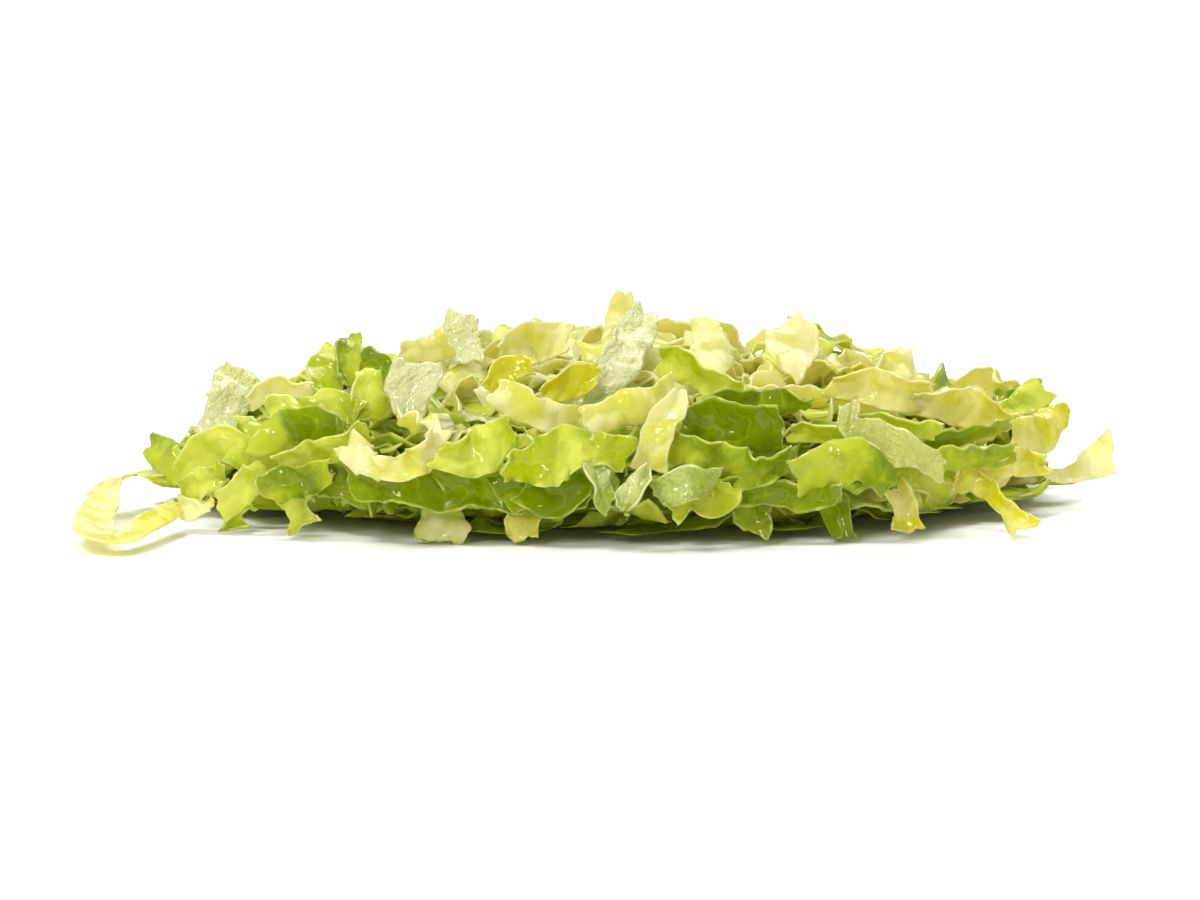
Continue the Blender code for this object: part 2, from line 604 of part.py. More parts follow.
# The loose shreds come first, each lifted clear of those before it.
loose = []
trees = []
for number, (name, leaf, widths, turns, ruffle, line) in enumerate(FRONT_SHREDS):
    shred, out = front_shred(number, name, leaf, widths, turns, ruffle, line)
    lift_clear(shred, trees, out)
    loose.append(shred)
    trees.append(tree_of(leaf_mesh(name, shred.surface(*LOOSE_STEPS), LEAF_THICKNESS)))
for number, (leaf, bearing, rise) in enumerate(ROUND_SHREDS):
    shred, out = round_shred(number, leaf, bearing, rise)
    lift_clear(shred, trees, out)
    loose.append(shred)
    trees.append(tree_of(leaf_mesh(shred.name, shred.surface(*LOOSE_STEPS), LEAF_THICKNESS)))
for shred in loose:
    mesh = leaf_mesh(shred.name, shred.surface(*LOOSE_STEPS), LEAF_THICKNESS)
    mesh.materials.append(leaf_material(shred.leaf))
    mesh.shade_smooth()
    mound.objects.link(bpy.data.objects.new(shred.name, mesh))

# The two heaps come next: the pale one clear of the loose shreds, the green one clear of both.
green_core = core_mesh("green core", (0, 0, GREEN_CORE_Z), GREEN_CORE, GREEN_CORE_BELOW, 0)
pale_core = core_mesh("pale core", PALE_CORE_CENTRE, PALE_CORE, PALE_CORE[2], PALE_CORE_CENTRE[2])
pale_blades = heap_blades(
    PALE_SEED, PALE_BLADES, PALE_CORE, PALE_CORE_CENTRE, PALE_RISES, PALE_REACH, MOUND,
    trees + [tree_of(green_core)],
)
pale_heap = fused_heap("heap_of_pale_shreds", "pale_leaf", pale_core, pale_blades)
green_blades = heap_blades(
    GREEN_SEED, GREEN_BLADES, GREEN_CORE, (0, 0, GREEN_CORE_Z), GREEN_RISES, GREEN_REACH,
    GREEN_LENS, trees + [tree_of(pale_heap.data)],
)
fused_heap("heap_of_green_shreds", "green_leaf", green_core, green_blades)
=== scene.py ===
"""The looks of a mound of shredded lettuce: moist, waved cuts of leaf, green below and pale on top."""

import json
import math
import random

import bpy
import numpy as np
from mathutils import Matrix, Vector, noise
from mathutils.bvhtree import BVHTree

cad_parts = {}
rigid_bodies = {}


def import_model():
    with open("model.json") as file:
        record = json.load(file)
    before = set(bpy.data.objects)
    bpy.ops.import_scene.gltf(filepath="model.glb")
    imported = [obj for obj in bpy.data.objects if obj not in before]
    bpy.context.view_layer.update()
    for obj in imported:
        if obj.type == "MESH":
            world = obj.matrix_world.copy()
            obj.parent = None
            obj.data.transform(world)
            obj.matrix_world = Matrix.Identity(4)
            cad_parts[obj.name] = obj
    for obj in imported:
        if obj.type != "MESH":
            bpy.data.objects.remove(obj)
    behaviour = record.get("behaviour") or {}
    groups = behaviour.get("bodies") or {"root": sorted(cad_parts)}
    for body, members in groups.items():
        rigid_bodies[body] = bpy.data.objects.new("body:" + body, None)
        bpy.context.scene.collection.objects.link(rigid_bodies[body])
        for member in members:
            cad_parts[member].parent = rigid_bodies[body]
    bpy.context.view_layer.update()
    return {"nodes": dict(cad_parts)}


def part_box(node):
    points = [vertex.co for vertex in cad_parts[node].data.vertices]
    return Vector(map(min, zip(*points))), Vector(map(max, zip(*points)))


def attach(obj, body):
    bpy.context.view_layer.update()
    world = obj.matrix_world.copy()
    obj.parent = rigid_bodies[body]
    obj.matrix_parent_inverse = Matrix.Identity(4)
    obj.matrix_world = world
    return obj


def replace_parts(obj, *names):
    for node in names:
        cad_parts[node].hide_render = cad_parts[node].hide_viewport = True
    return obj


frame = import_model()


# The leaf
# Every piece of the mound is a cut of lettuce leaf. It is a moist sheet a third of a millimetre
# thick, blistered between its veins and waved at its edges. Along its cut edges it is painted
# paler: partly the leaf's own paler cut, partly a painted highlight where the edge catches light.

MM = 0.001
LEAF_THICKNESS = 0.3 * MM
LEAF_UV = "leaf"
BLISTER_SIZE = 4.2 * MM


def node(tree, kind, inputs=(), **settings):
    """Adds a node with its settings. An input is given by name or number, as a value or a link."""
    added = tree.nodes.new(kind)
    for key, value in settings.items():
        setattr(added, key, value)
    for key, value in dict(inputs).items():
        if isinstance(value, bpy.types.NodeSocket):
            tree.links.new(value, added.inputs[key])
        else:
            added.inputs[key].default_value = value
    return added


def maths(tree, operation, *values):
    """The result of one arithmetic step on the values."""
    return node(tree, "ShaderNodeMath", enumerate(values), operation=operation).outputs[0]


def ramp(tree, value, start, end, to_start=0.0, to_end=1.0):
    """A value that goes smoothly from to_start to to_end as the input goes from start to end."""
    spread = {0: value, 1: start, 2: end, 3: to_start, 4: to_end}
    return node(tree, "ShaderNodeMapRange", spread, interpolation_type="SMOOTHSTEP").outputs[0]


def blend(tree, share, first, second):
    """Two colours mixed, with that share of the second."""
    return node(tree, "ShaderNodeMix", {0: share, 6: first, 7: second}, data_type="RGBA").outputs[2]


def leaf_flesh_group():
    """The colour, gloss and fine relief of a leaf, from its map in metres and its marks."""
    tree = bpy.data.node_groups.new("leaf flesh", "ShaderNodeTree")
    for name in ("Inner Colour", "Outer Colour", "Edge Colour"):
        tree.interface.new_socket(name, in_out="INPUT", socket_type="NodeSocketColor")
    for name in ("Mottle", "Vein Strength", "Cell Size", "Crinkle", "Ridges", "Dry Share", "Smoothest"):
        tree.interface.new_socket(name, in_out="INPUT", socket_type="NodeSocketFloat")
    tree.interface.new_socket("Colour", in_out="OUTPUT", socket_type="NodeSocketColor")
    for name in ("Roughness", "Wet", "Height"):
        tree.interface.new_socket(name, in_out="OUTPUT", socket_type="NodeSocketFloat")
    given = node(tree, "NodeGroupInput").outputs
    on_leaf = node(tree, "ShaderNodeUVMap", uv_map=LEAF_UV).outputs[0]
    in_mm = node(tree, "ShaderNodeVectorMath", {0: on_leaf, "Scale": 1 / MM}, operation="SCALE").outputs[0]
    mark = {
        name: node(tree, "ShaderNodeAttribute", attribute_name=name).outputs["Fac"]
        for name in ("edge", "tone", "green")
    }

    broad = node(tree, "ShaderNodeTexNoise", {"Vector": in_mm, "Scale": 0.28, "Detail": 3}).outputs[0]
    fine = node(tree, "ShaderNodeTexNoise", {"Vector": in_mm, "Scale": 2.2, "Detail": 4}).outputs[0]
    bent = node(tree, "ShaderNodeTexNoise", {"Vector": in_mm, "Scale": 0.9, "Detail": 2}).outputs[1]
    warped = node(tree, "ShaderNodeVectorMath", {0: bent, 1: in_mm}, operation="ADD").outputs[0]
    drawn_out = node(
        tree, "ShaderNodeVectorMath", {0: warped, 1: (0.35, 1.7, 1.0)}, operation="MULTIPLY"
    ).outputs[0]
    fibres = node(tree, "ShaderNodeTexNoise", {"Vector": drawn_out, "Scale": 1.0, "Detail": 3}).outputs[0]
    swells = node(
        tree, "ShaderNodeTexNoise", {"Vector": in_mm, "Scale": MM / BLISTER_SIZE, "Detail": 1.0}
    ).outputs[0]
    off_crease = maths(tree, "ABSOLUTE", maths(tree, "MULTIPLY_ADD", swells, 2.0, -1.0))
    per_mm = maths(tree, "DIVIDE", 1.0, given["Cell Size"])
    cells = node(
        tree, "ShaderNodeTexVoronoi", {"Vector": warped, "Scale": per_mm}, feature="DISTANCE_TO_EDGE"
    ).outputs["Distance"]

    patches = maths(tree, "SUBTRACT", broad, 0.5)
    flecks = maths(tree, "SUBTRACT", fine, 0.5)
    mottled = maths(tree, "MULTIPLY_ADD", patches, given["Mottle"], mark["green"])
    flecked = maths(tree, "MULTIPLY_ADD", flecks, 0.5, mottled)
    greenness = maths(tree, "MULTIPLY_ADD", mark["tone"], 0.22, flecked)
    flesh = blend(tree, ramp(tree, greenness, 0.0, 1.0), given["Inner Colour"], given["Outer Colour"])
    net = maths(tree, "MULTIPLY", ramp(tree, cells, 0.0, 0.08, 0.35, 0.0), given["Vein Strength"])
    vein = maths(
        tree, "MULTIPLY_ADD", ramp(tree, off_crease, 0.0, 0.07, 1.0, 0.0), given["Vein Strength"], net
    )
    veined = blend(tree, vein, flesh, given["Inner Colour"])
    fleshy = ramp(tree, bent, 0.35, 0.65, 0.25, 0.9)
    # Paler band along the cut edges: partly the leaf's own paler cut, partly a painted highlight of the
    # lit edge
    cut = maths(tree, "MULTIPLY", ramp(tree, mark["edge"], 0.03 * MM, 0.22 * MM, 1.0, 0.0), fleshy)
    coloured = blend(tree, cut, veined, given["Edge Colour"])

    wet = ramp(tree, broad, maths(tree, "SUBTRACT", given["Dry Share"], 0.08), given["Dry Share"])
    blister = maths(tree, "MULTIPLY", ramp(tree, cells, 0.0, 0.35), 0.5)
    crinkled = maths(tree, "MULTIPLY_ADD", fine, given["Crinkle"], blister)
    height = maths(tree, "MULTIPLY_ADD", fibres, given["Ridges"], crinkled)
    results = {
        "Colour": coloured,
        "Roughness": ramp(tree, wet, 0.0, 1.0, 0.5, given["Smoothest"]),
        "Wet": wet,
        "Height": height,
    }
    node(tree, "NodeGroupOutput", results)
    return tree


leaf_flesh = leaf_flesh_group()


def leaf_material(
    name, colours, through, gleam, light_share, relief_height, clearness=0.0, glint=0.3,
    **flesh_values
):
    """Moist leaf: a glossy skin mixed with the light that comes through from behind. The skin
    itself mirrors as strongly as glint, in the colour gleam, and the water on it mirrors white."""
    material = bpy.data.materials.new(name)
    material.use_nodes = True
    tree = material.node_tree
    tree.nodes.clear()
    flesh = node(tree, "ShaderNodeGroup", node_tree=leaf_flesh)
    for place, colour in zip(("Inner Colour", "Outer Colour", "Edge Colour"), colours):
        flesh.inputs[place].default_value = (*colour, 1)
    for key, value in flesh_values.items():
        flesh.inputs[key.replace("_", " ").title()].default_value = value
    relief = node(
        tree, "ShaderNodeBump",
        {"Height": flesh.outputs["Height"], "Strength": 0.6, "Distance": relief_height},
    ).outputs[0]
    skin = node(
        tree, "ShaderNodeBsdfPrincipled",
        {
            "Base Color": flesh.outputs["Colour"], "Roughness": flesh.outputs["Roughness"],
            "Specular IOR Level": glint, "Specular Tint": (*gleam, 1),
            "Transmission Weight": clearness, "IOR": 1.33,
            "Coat Weight": flesh.outputs["Wet"], "Coat Roughness": 0.1, "Coat IOR": 1.45,
            "Normal": relief,
        },
    )
    lit = node(tree, "ShaderNodeBsdfTranslucent", {"Color": (*through, 1), "Normal": relief})
    both = node(tree, "ShaderNodeMixShader", {0: light_share, 1: skin.outputs[0], 2: lit.outputs[0]})
    node(tree, "ShaderNodeOutputMaterial", {"Surface": both.outputs[0]})
    return material


leaf_materials = {
    "green_leaf": leaf_material(
        "green leaf", ((0.60, 0.66, 0.05), (0.21, 0.29, 0.001), (0.72, 0.77, 0.16)),
        through=(0.58, 0.68, 0.003), gleam=(0.8, 0.9, 0.05), light_share=0.4, relief_height=0.12 * MM,
        mottle=2.0, vein_strength=0.3, cell_size=1.9, crinkle=0.35, ridges=0.4, dry_share=0.55,
        smoothest=0.22,
    ),
    "lime_leaf": leaf_material(
        "lime leaf", ((0.80, 0.83, 0.15), (0.42, 0.50, 0.002), (0.90, 0.91, 0.34)),
        through=(0.80, 0.84, 0.01), gleam=(0.9, 0.95, 0.15), light_share=0.4, relief_height=0.12 * MM,
        mottle=2.2, vein_strength=0.3, cell_size=2.0, crinkle=0.35, ridges=0.4, dry_share=0.55,
        smoothest=0.22,
    ),
    "wet_leaf": leaf_material(
        "wet leaf", ((0.82, 0.84, 0.36), (0.36, 0.44, 0.002), (0.90, 0.91, 0.45)),
        through=(0.74, 0.80, 0.01), gleam=(1.0, 1.0, 0.8), light_share=0.36, relief_height=0.45 * MM,
        glint=1.0, mottle=1.6, vein_strength=0.15, cell_size=1.4, crinkle=1.6, ridges=1.5, dry_share=0.2,
        smoothest=0.1,
    ),
    "pale_leaf": leaf_material(
        "pale leaf", ((0.94, 0.91, 0.56), (0.74, 0.75, 0.09), (0.96, 0.94, 0.68)),
        through=(0.97, 0.93, 0.36), gleam=(1.0, 1.0, 0.7), light_share=0.46, relief_height=0.13 * MM,
        mottle=2.2, vein_strength=0.2, cell_size=2.0, crinkle=0.4, ridges=0.5, dry_share=0.52,
        smoothest=0.22,
    ),
    "clear_rib": leaf_material(
        "clear rib", ((0.95, 0.95, 0.62), (0.72, 0.76, 0.18), (0.97, 0.96, 0.80)),
        through=(0.96, 0.96, 0.50), gleam=(1.0, 1.0, 0.9), light_share=0.45, relief_height=0.7 * MM,
        clearness=0.15, glint=1.0, mottle=1.2, vein_strength=0.15, cell_size=1.3, crinkle=1.4, ridges=2.0,
        dry_share=0.2, smoothest=0.1,
    ),
    "yellow_leaf": leaf_material(
        "yellow leaf", ((0.93, 0.86, 0.36), (0.61, 0.60, 0.004), (0.95, 0.89, 0.44)),
        through=(0.93, 0.88, 0.05), gleam=(1.0, 0.95, 0.2), light_share=0.4, relief_height=0.15 * MM,
        mottle=2.0, vein_strength=0.2, cell_size=1.9, crinkle=0.5, ridges=0.6, dry_share=0.42,
        smoothest=0.18,
    ),
}


def leaf_relief_tree():
    """Raises a leaf's blisters and crinkles out of its sheet."""
    tree = bpy.data.node_groups.new("leaf relief", "GeometryNodeTree")
    tree.interface.new_socket("Leaf", in_out="INPUT", socket_type="NodeSocketGeometry")
    for name, size in (
        ("Blister size", BLISTER_SIZE), ("Blister height", 1.1 * MM),
        ("Crinkle size", 1.4 * MM), ("Crinkle height", 0.16 * MM),
    ):
        socket = tree.interface.new_socket(name, in_out="INPUT", socket_type="NodeSocketFloat")
        socket.default_value = size
    tree.interface.new_socket("Leaf", in_out="OUTPUT", socket_type="NodeSocketGeometry")
    given = node(tree, "NodeGroupInput").outputs
    on_leaf = node(
        tree, "GeometryNodeInputNamedAttribute", {"Name": LEAF_UV}, data_type="FLOAT_VECTOR"
    ).outputs[0]

    def waves(size):
        scale = maths(tree, "DIVIDE", 1.0, size)
        swells = node(
            tree, "ShaderNodeTexNoise", {"Vector": on_leaf, "Scale": scale, "Detail": 1.0}
        ).outputs[0]
        return maths(tree, "MULTIPLY_ADD", swells, 2.0, -1.0)

    bulges = maths(tree, "ABSOLUTE", waves(given["Blister size"]))
    blisters = maths(tree, "MULTIPLY", bulges, given["Blister height"])
    crinkles = maths(tree, "MULTIPLY", waves(given["Crinkle size"]), given["Crinkle height"])
    raised = node(
        tree, "ShaderNodeVectorMath",
        {0: node(tree, "GeometryNodeInputNormal").outputs[0],
         "Scale": maths(tree, "ADD", blisters, crinkles)},
        operation="SCALE",
    ).outputs[0]
    bent = node(tree, "GeometryNodeSetPosition", {"Geometry": given["Leaf"], "Offset": raised})
    smooth = node(tree, "GeometryNodeSetShadeSmooth", {0: bent.outputs[0]})
    node(tree, "NodeGroupOutput", {"Leaf": smooth.outputs[0]})
    return tree


leaf_relief = leaf_relief_tree()


def set_inputs(modifier, values):
    """Sets a Geometry Nodes modifier's inputs, each found by the name of its socket."""
    for item in modifier.node_group.interface.items_tree:
        if item.item_type == "SOCKET" and item.in_out == "INPUT" and item.name in values:
            modifier[item.identifier] = values[item.name]


def made_plain(piece):
    """Turns what the modifiers make into the piece's own mesh."""
    evaluated = piece.evaluated_get(bpy.context.evaluated_depsgraph_get())
    made = bpy.data.meshes.new_from_object(evaluated)
    piece.modifiers.clear()
    piece.data = made
    return piece


def leaf_piece(name, sheet, **relief_sizes):
    """A sheet with its relief raised and its thickness added, as one plain object."""
    piece = bpy.data.objects.new(name, sheet)
    bpy.context.scene.collection.objects.link(piece)
    relief = piece.modifiers.new("relief", "NODES")
    relief.node_group = leaf_relief
    set_inputs(relief, relief_sizes)
    thicken = piece.modifiers.new("thickness", "SOLIDIFY")
    thicken.thickness = LEAF_THICKNESS
    thicken.offset = 0
    return made_plain(piece)


# The cut of a shred
# A knife takes the leaf across in strips 4 to 7 mm wide, so each shred is a band with two cut
# edges. It curls and turns along its length, and its edges wave because the leaf is ruffled.

SPINE_SAMPLES = 160
WAVE_LENGTH = 8 * MM
BROAD_WOBBLE = 0.16
FINE_WOBBLE = 0.07
MOST_SLANT = 0.5
CUP = (-0.25, 0.35)
CREASE = 0.95
FINE_KEPT = 0.4
NICKS = 0.02
FRILL = 0.35
MOST_ROLL = 0.4
RAGGED_END = 0.22 * MM
PALER_END = (-0.2, 0.5)
GREENER_END = (0.5, 1.1)
MOST_SIDE_GREEN = 0.25
FLOOR_GAP = 0.5 * MM
CORE_GAP = 1.2 * MM
ROUNDNESS = 2.6
GREEN_CORE = (45 * MM, 34 * MM, 6.6 * MM)
GREEN_CORE_CENTRE = (0, 0, 6 * MM)
PALE_CORE = (29 * MM, 21 * MM, 3.4 * MM)
PALE_CORE_CENTRE = (7 * MM, 1 * MM, 13 * MM)


def catmull_rom(knots, at):
    """A smooth line through the knots, read at positions counted in knots."""
    knots = np.asarray(knots, float)
    before = 2 * knots[0] - knots[1]
    after = 2 * knots[-1] - knots[-2]
    row = np.concatenate([[before], knots, [after]])
    span = np.clip(np.floor(at).astype(int), 0, len(knots) - 2)
    t = (at - span).reshape((-1,) + (1,) * (knots.ndim - 1))
    a, b, c, d = (row[span + k] for k in range(4))
    return 0.5 * (
        2 * b + (c - a) * t + (2 * a - 5 * b + 4 * c - d) * t**2 + (3 * b - a - 3 * c + d) * t**3
    )


def folded(turns):
    """A wave between -1 and 1 whose crests are creased, as where a leaf is pressed."""
    return np.arcsin(CREASE * np.sin(turns)) / math.asin(CREASE)


def unit(vectors):
    """The vectors, each one metre long."""
    return vectors / np.linalg.norm(vectors, axis=-1, keepdims=True)


def kept_off_cores(places):
    """Presses a loose leaf's places out of the two packed cores of the mound."""
    for middle, half_axes in ((GREEN_CORE_CENTRE, GREEN_CORE), (PALE_CORE_CENTRE, PALE_CORE)):
        axes = np.array(half_axes) + CORE_GAP
        inner = places - np.array(middle)
        out = (np.abs(inner / axes) ** ROUNDNESS).sum(-1, keepdims=True) ** (1 / ROUNDNESS)
        places = np.where(out < 1, np.array(middle) + inner / np.maximum(out, 0.2), places)
    return places


class Shred:
    """A strip of leaf: a line, a width and a turn along it, and waves in its edges."""

    def __init__(self, leaf, line, widths, turns, ruffle, facing, draw, rooted=False):
        self.leaf = leaf
        self.rooted = rooted
        self.shift = np.zeros(3)
        self.ruffle = ruffle
        self.phases = [draw.uniform(0, 2 * math.pi) for _ in range(6)]
        self.slants = [draw.uniform(-MOST_SLANT, MOST_SLANT) for _ in range(2)]
        self.cup = draw.uniform(*CUP)
        line = np.array([list(p) for p in line])
        dense = np.linspace(0, len(line) - 1, SPINE_SAMPLES)
        steps = np.linalg.norm(np.diff(catmull_rom(line, dense), axis=0), axis=1)
        along = np.concatenate([[0], np.cumsum(steps)])
        self.length = along[-1]
        even = np.interp(np.linspace(0, self.length, SPINE_SAMPLES), along, dense)
        self.centre = catmull_rom(line, even)
        self.waves = max(1.0, self.length / WAVE_LENGTH)
        share = np.linspace(0, 2, SPINE_SAMPLES)
        self.half_width = catmull_rom(widths, share) / 2
        self.turn = np.radians(catmull_rom(turns, share))
        self.tangent = unit(np.gradient(self.centre, axis=0))
        self.face = self.carried_face(np.array(facing, float))
        tint = random.Random(round(sum(self.phases) * 1000))
        self.rolls = [tint.uniform(-MOST_ROLL, MOST_ROLL) for _ in range(2)]
        self.frill = FRILL
        self.tone = tint.uniform(-1, 1)
        self.greens = sorted((tint.uniform(*PALER_END), tint.uniform(*GREENER_END)))
        if tint.random() < 0.5:
            self.greens.reverse()
        self.side_green = tint.uniform(-MOST_SIDE_GREEN, MOST_SIDE_GREEN)

    def carried_face(self, facing):
        """The side that the leaf shows, carried along the line without twisting, then turned."""
        faces = np.empty_like(self.tangent)
        for k, along in enumerate(self.tangent):
            facing = facing - along * (facing @ along)
            facing = facing / np.linalg.norm(facing)
            faces[k] = facing
        across = np.cross(self.tangent, faces)
        turn = self.turn[:, None]
        return faces * np.cos(turn) + across * np.sin(turn)

    def read(self, values, rows):
        """The values along the line, at the rows of a grid."""
        at = np.linspace(0, SPINE_SAMPLES - 1, rows + 1)
        samples = np.arange(SPINE_SAMPLES)
        if values.ndim == 1:
            return np.interp(at, samples, values)[:, None]
        return np.stack([np.interp(at, samples, c) for c in values.T], -1)[:, None, :]

    def surface(self, rows, columns, cut=0.0):
        """The middle surface as a grid of places. With cut, it gets its creases and small frills."""
        u = np.linspace(0, 1, rows + 1)[:, None]
        v = np.linspace(-1, 1, columns + 1)[None, :]
        along = unit(self.read(self.tangent, rows))
        face = unit(self.read(self.face, rows))
        across = np.cross(along, face)
        half = self.read(self.half_width, rows)
        turns = 2 * math.pi * self.waves * u
        left, right = v < 0, v > 0
        first, second, third, fourth, fifth, sixth = self.phases
        # The two edges wave at rates that differ a little, so that they never run side by side
        broad = left * np.sin(0.9 * turns + first) + right * np.sin(0.8 * turns + second)
        fine = left * np.sin(2.3 * turns) + right * np.sin(2.7 * turns)
        wobble = BROAD_WOBBLE * broad + FINE_WOBBLE * (FINE_KEPT if cut else 1) * fine
        nicks = (
            left * np.sin(3.9 * turns + sixth) * np.sin(0.7 * turns + second)
            + right * np.sin(4.4 * turns + fifth) * np.sin(0.8 * turns + first)
        )
        bend = folded if cut else np.sin
        wave = (
            left * bend(turns + third) + right * bend(turns + fourth)
        ) * np.abs(v) ** 1.5 + 0.5 * bend(0.6 * turns + fifth)
        frill = (
            left * np.sin(2.6 * turns + sixth) + right * np.sin(2.9 * turns + third)
        ) * np.abs(v) ** 2.5
        roll = (left * self.rolls[0] + right * self.rolls[1]) * np.abs(v) ** 3
        slant = self.slants[0] * (1 - u) + self.slants[1] * u
        ragged = np.sin(4 * v + fourth) + 0.5 * np.sin(9 * v + fifth)
        end = RAGGED_END * ragged * np.abs(2 * u - 1) ** 4
        out_of_plane = self.ruffle * (wave + cut * self.frill * frill)
        out_of_plane = out_of_plane + half * (self.cup * v**2 + cut * roll)
        places = (
            self.read(self.centre, rows)
            + across * (v * half * (1 + wobble + cut * NICKS * nicks * np.abs(v)))[..., None]
            + along * (slant * v * half + cut * end)[..., None]
            + face * out_of_plane[..., None]
        )
        places = places + self.shift
        if not self.rooted:
            places = kept_off_cores(places)
        places[..., 2] = np.maximum(places[..., 2], FLOOR_GAP)
        return places

    def marks(self, rows, columns):
        """What the leaf's colour follows: its map in metres, and its edge, tone and greenness."""
        u = np.linspace(0, 1, rows + 1)[:, None]
        v = np.linspace(-1, 1, columns + 1)[None, :]
        half = self.read(self.half_width, rows)
        from_ends = np.minimum(u, 1 - u) * self.length + 0 * v
        green = np.interp(u, np.linspace(0, 1, len(self.greens)), self.greens) + self.side_green * v
        return {
            "map": np.stack([u * self.length + 0 * v, v * half], -1),
            "edge": np.minimum((1 - np.abs(v)) * half, from_ends),
            "tone": self.tone + 0 * u * v,
            "green": green,
        }


MAP_STEP = np.array((0.037, 0.023))


def leaf_sheet(name, shreds, steps):
    """One mesh of the shreds' middle surfaces, with its marks and one material a kind of leaf."""
    rows, columns = steps
    grid = np.arange((rows + 1) * (columns + 1)).reshape(rows + 1, columns + 1)
    quads = np.stack([grid[:-1, :-1], grid[:-1, 1:], grid[1:, 1:], grid[1:, :-1]], -1)
    quads = quads.reshape(-1, 4)
    places = [shred.surface(rows, columns, 1.0).reshape(-1, 3) for shred in shreds]
    faces = [quads + grid.size * number for number in range(len(shreds))]
    marks = [shred.marks(rows, columns) for shred in shreds]
    sheet = bpy.data.meshes.new(name)
    sheet.from_pydata(np.concatenate(places).tolist(), [], np.concatenate(faces).tolist())
    for mark in ("edge", "tone", "green"):
        values = np.concatenate([m[mark].ravel() for m in marks]).astype(np.float32)
        sheet.attributes.new(mark, "FLOAT", "POINT").data.foreach_set("value", values)
    spread = np.concatenate(
        [m["map"].reshape(-1, 2) + MAP_STEP * number for number, m in enumerate(marks)]
    )
    corners = np.concatenate(faces).ravel()
    layer = sheet.uv_layers.new(name=LEAF_UV)
    layer.data.foreach_set("uv", spread[corners].astype(np.float32).ravel())
    kinds = sorted({shred.leaf for shred in shreds})
    for kind in kinds:
        sheet.materials.append(leaf_materials[kind])
    numbers = [kinds.index(shred.leaf) for shred in shreds for _ in range(len(quads))]
    sheet.polygons.foreach_set("material_index", numbers)
    return sheet


# The green heap
# The lower mound is a tangle of outer-leaf shreds that hold each other up by their waves. Inside,
# they are packed too close to tell apart, so a creased leafy core stands for them, and the blades
# at its outside grow out of it. It carries everything else.

HEAP_STEPS = (4, 1)
FINE_HEAP_STEPS = (26, 8)
BLADE_LENGTH = (12 * MM, 20 * MM)
BLADE_WIDTH = (5 * MM, 8 * MM)
BLADE_TURN = 30
BLADE_CLIMB = 30
BLADE_LEAN = (35, 75)
ALONG = (-0.5, -0.17, 0.17, 0.5)
ROOT_DEPTH = 2.2 * MM
TONGUES_SHARE = 0.6
MOST_DRAWS = 60
GREEN_BLADES = 66
GREEN_RISES = (-0.5, 0.8)
GREEN_REACH = 0.48
GREEN_SEED = 800
HEAP_BLISTERS = 0.7 * MM
ON_THE_FACE = 0.75 * MM


def swell(point, half_axes, roundness=ROUNDNESS):
    """How far out a point is: under 1 inside the rounded lens, over 1 outside."""
    total = sum(abs(c / a) ** roundness for c, a in zip(point, half_axes))
    return total ** (1 / roundness)


def lens_normal(point, half_axes):
    """The outward normal of the rounded lens through a point."""
    slope = [
        math.copysign(abs(c / a) ** (ROUNDNESS - 1) / a, c) for c, a in zip(point, half_axes)
    ]
    return Vector(slope).normalized()


def heap_blade(draw, spot, out, reach, leaf):
    """A blade rooted in a core: a tongue that bends over, or a shingle that stands on its edge."""
    length = draw.uniform(*BLADE_LENGTH)
    width = draw.uniform(*BLADE_WIDTH)
    level = Vector((-out.y, out.x, 0)).normalized()
    slope = out.cross(level)
    root = spot - out * ROOT_DEPTH
    if draw.random() < TONGUES_SHARE:
        spread = draw.uniform(0, 2 * math.pi)
        side = level * math.cos(spread) + slope * math.sin(spread)
        rise = length * reach * draw.uniform(0.6, 1.2)
        line = (
            root,
            root + out * rise * 0.8 + side * length * 0.2,
            root + out * rise * 1.1 + side * length * 0.55,
            root + out * rise + side * length * 0.9,
        )
        facing = out - side * 0.5
    else:
        climb = math.radians(draw.uniform(-BLADE_CLIMB, BLADE_CLIMB))
        side = level * math.cos(climb) + slope * math.sin(climb)
        lean = math.radians(draw.uniform(*BLADE_LEAN))
        stand = root + out * width * 0.5 * math.sin(lean)
        line = [stand + side * length * share for share in ALONG]
        facing = out * math.cos(lean) + slope * math.sin(lean)
    ruffle = draw.uniform(0.4, 0.9) * MM
    turns = [draw.uniform(-BLADE_TURN, BLADE_TURN) for _ in range(3)]
    widths = (0.75 * width, width, 0.6 * width)
    return Shred(leaf, line, widths, turns, ruffle, facing, draw, rooted=True)


def core_spot(number, count, half_axes, middle, lowest, highest):
    """Spot of that number on a core, spread evenly by the golden angle, and its normal."""
    bearing = number * math.pi * (3 - math.sqrt(5))
    rise = lowest + (highest - lowest) * (number + 0.5) / count
    flat_share = math.sqrt(1 - rise**2)
    way = Vector((math.cos(bearing) * flat_share, math.sin(bearing) * flat_share, rise))
    spot = Vector([w * a for w, a in zip(way, half_axes)])
    spot = spot / swell(spot, half_axes)
    return spot + Vector(middle), lens_normal(spot, half_axes)


def on_solid(blade, solid):
    """True where the blade's outer end lies in the heap's solid of the frame."""
    places = blade.surface(*HEAP_STEPS)
    return all(
        solid.find_nearest(Vector(place))[3] < ON_THE_FACE for place in places[2:].reshape(-1, 3)
    )


def heap_blades(heap, seed, count, half_axes, middle, rises, reach, leaf_at):
    """The blades that the heap's solid holds, found again among the same draws."""
    mesh = frame["nodes"][heap].data
    solid = BVHTree.FromPolygons(
        [v.co.copy() for v in mesh.vertices], [tuple(p.vertices) for p in mesh.polygons]
    )
    found = []
    for number in range(count):
        spot, out = core_spot(number, count, half_axes, middle, *rises)
        draw = random.Random(seed + number)
        for _ in range(MOST_DRAWS):
            blade = heap_blade(draw, spot, out, reach, leaf_at(spot, number))
            if on_solid(blade, solid):
                found.append(blade)
                break
    return found


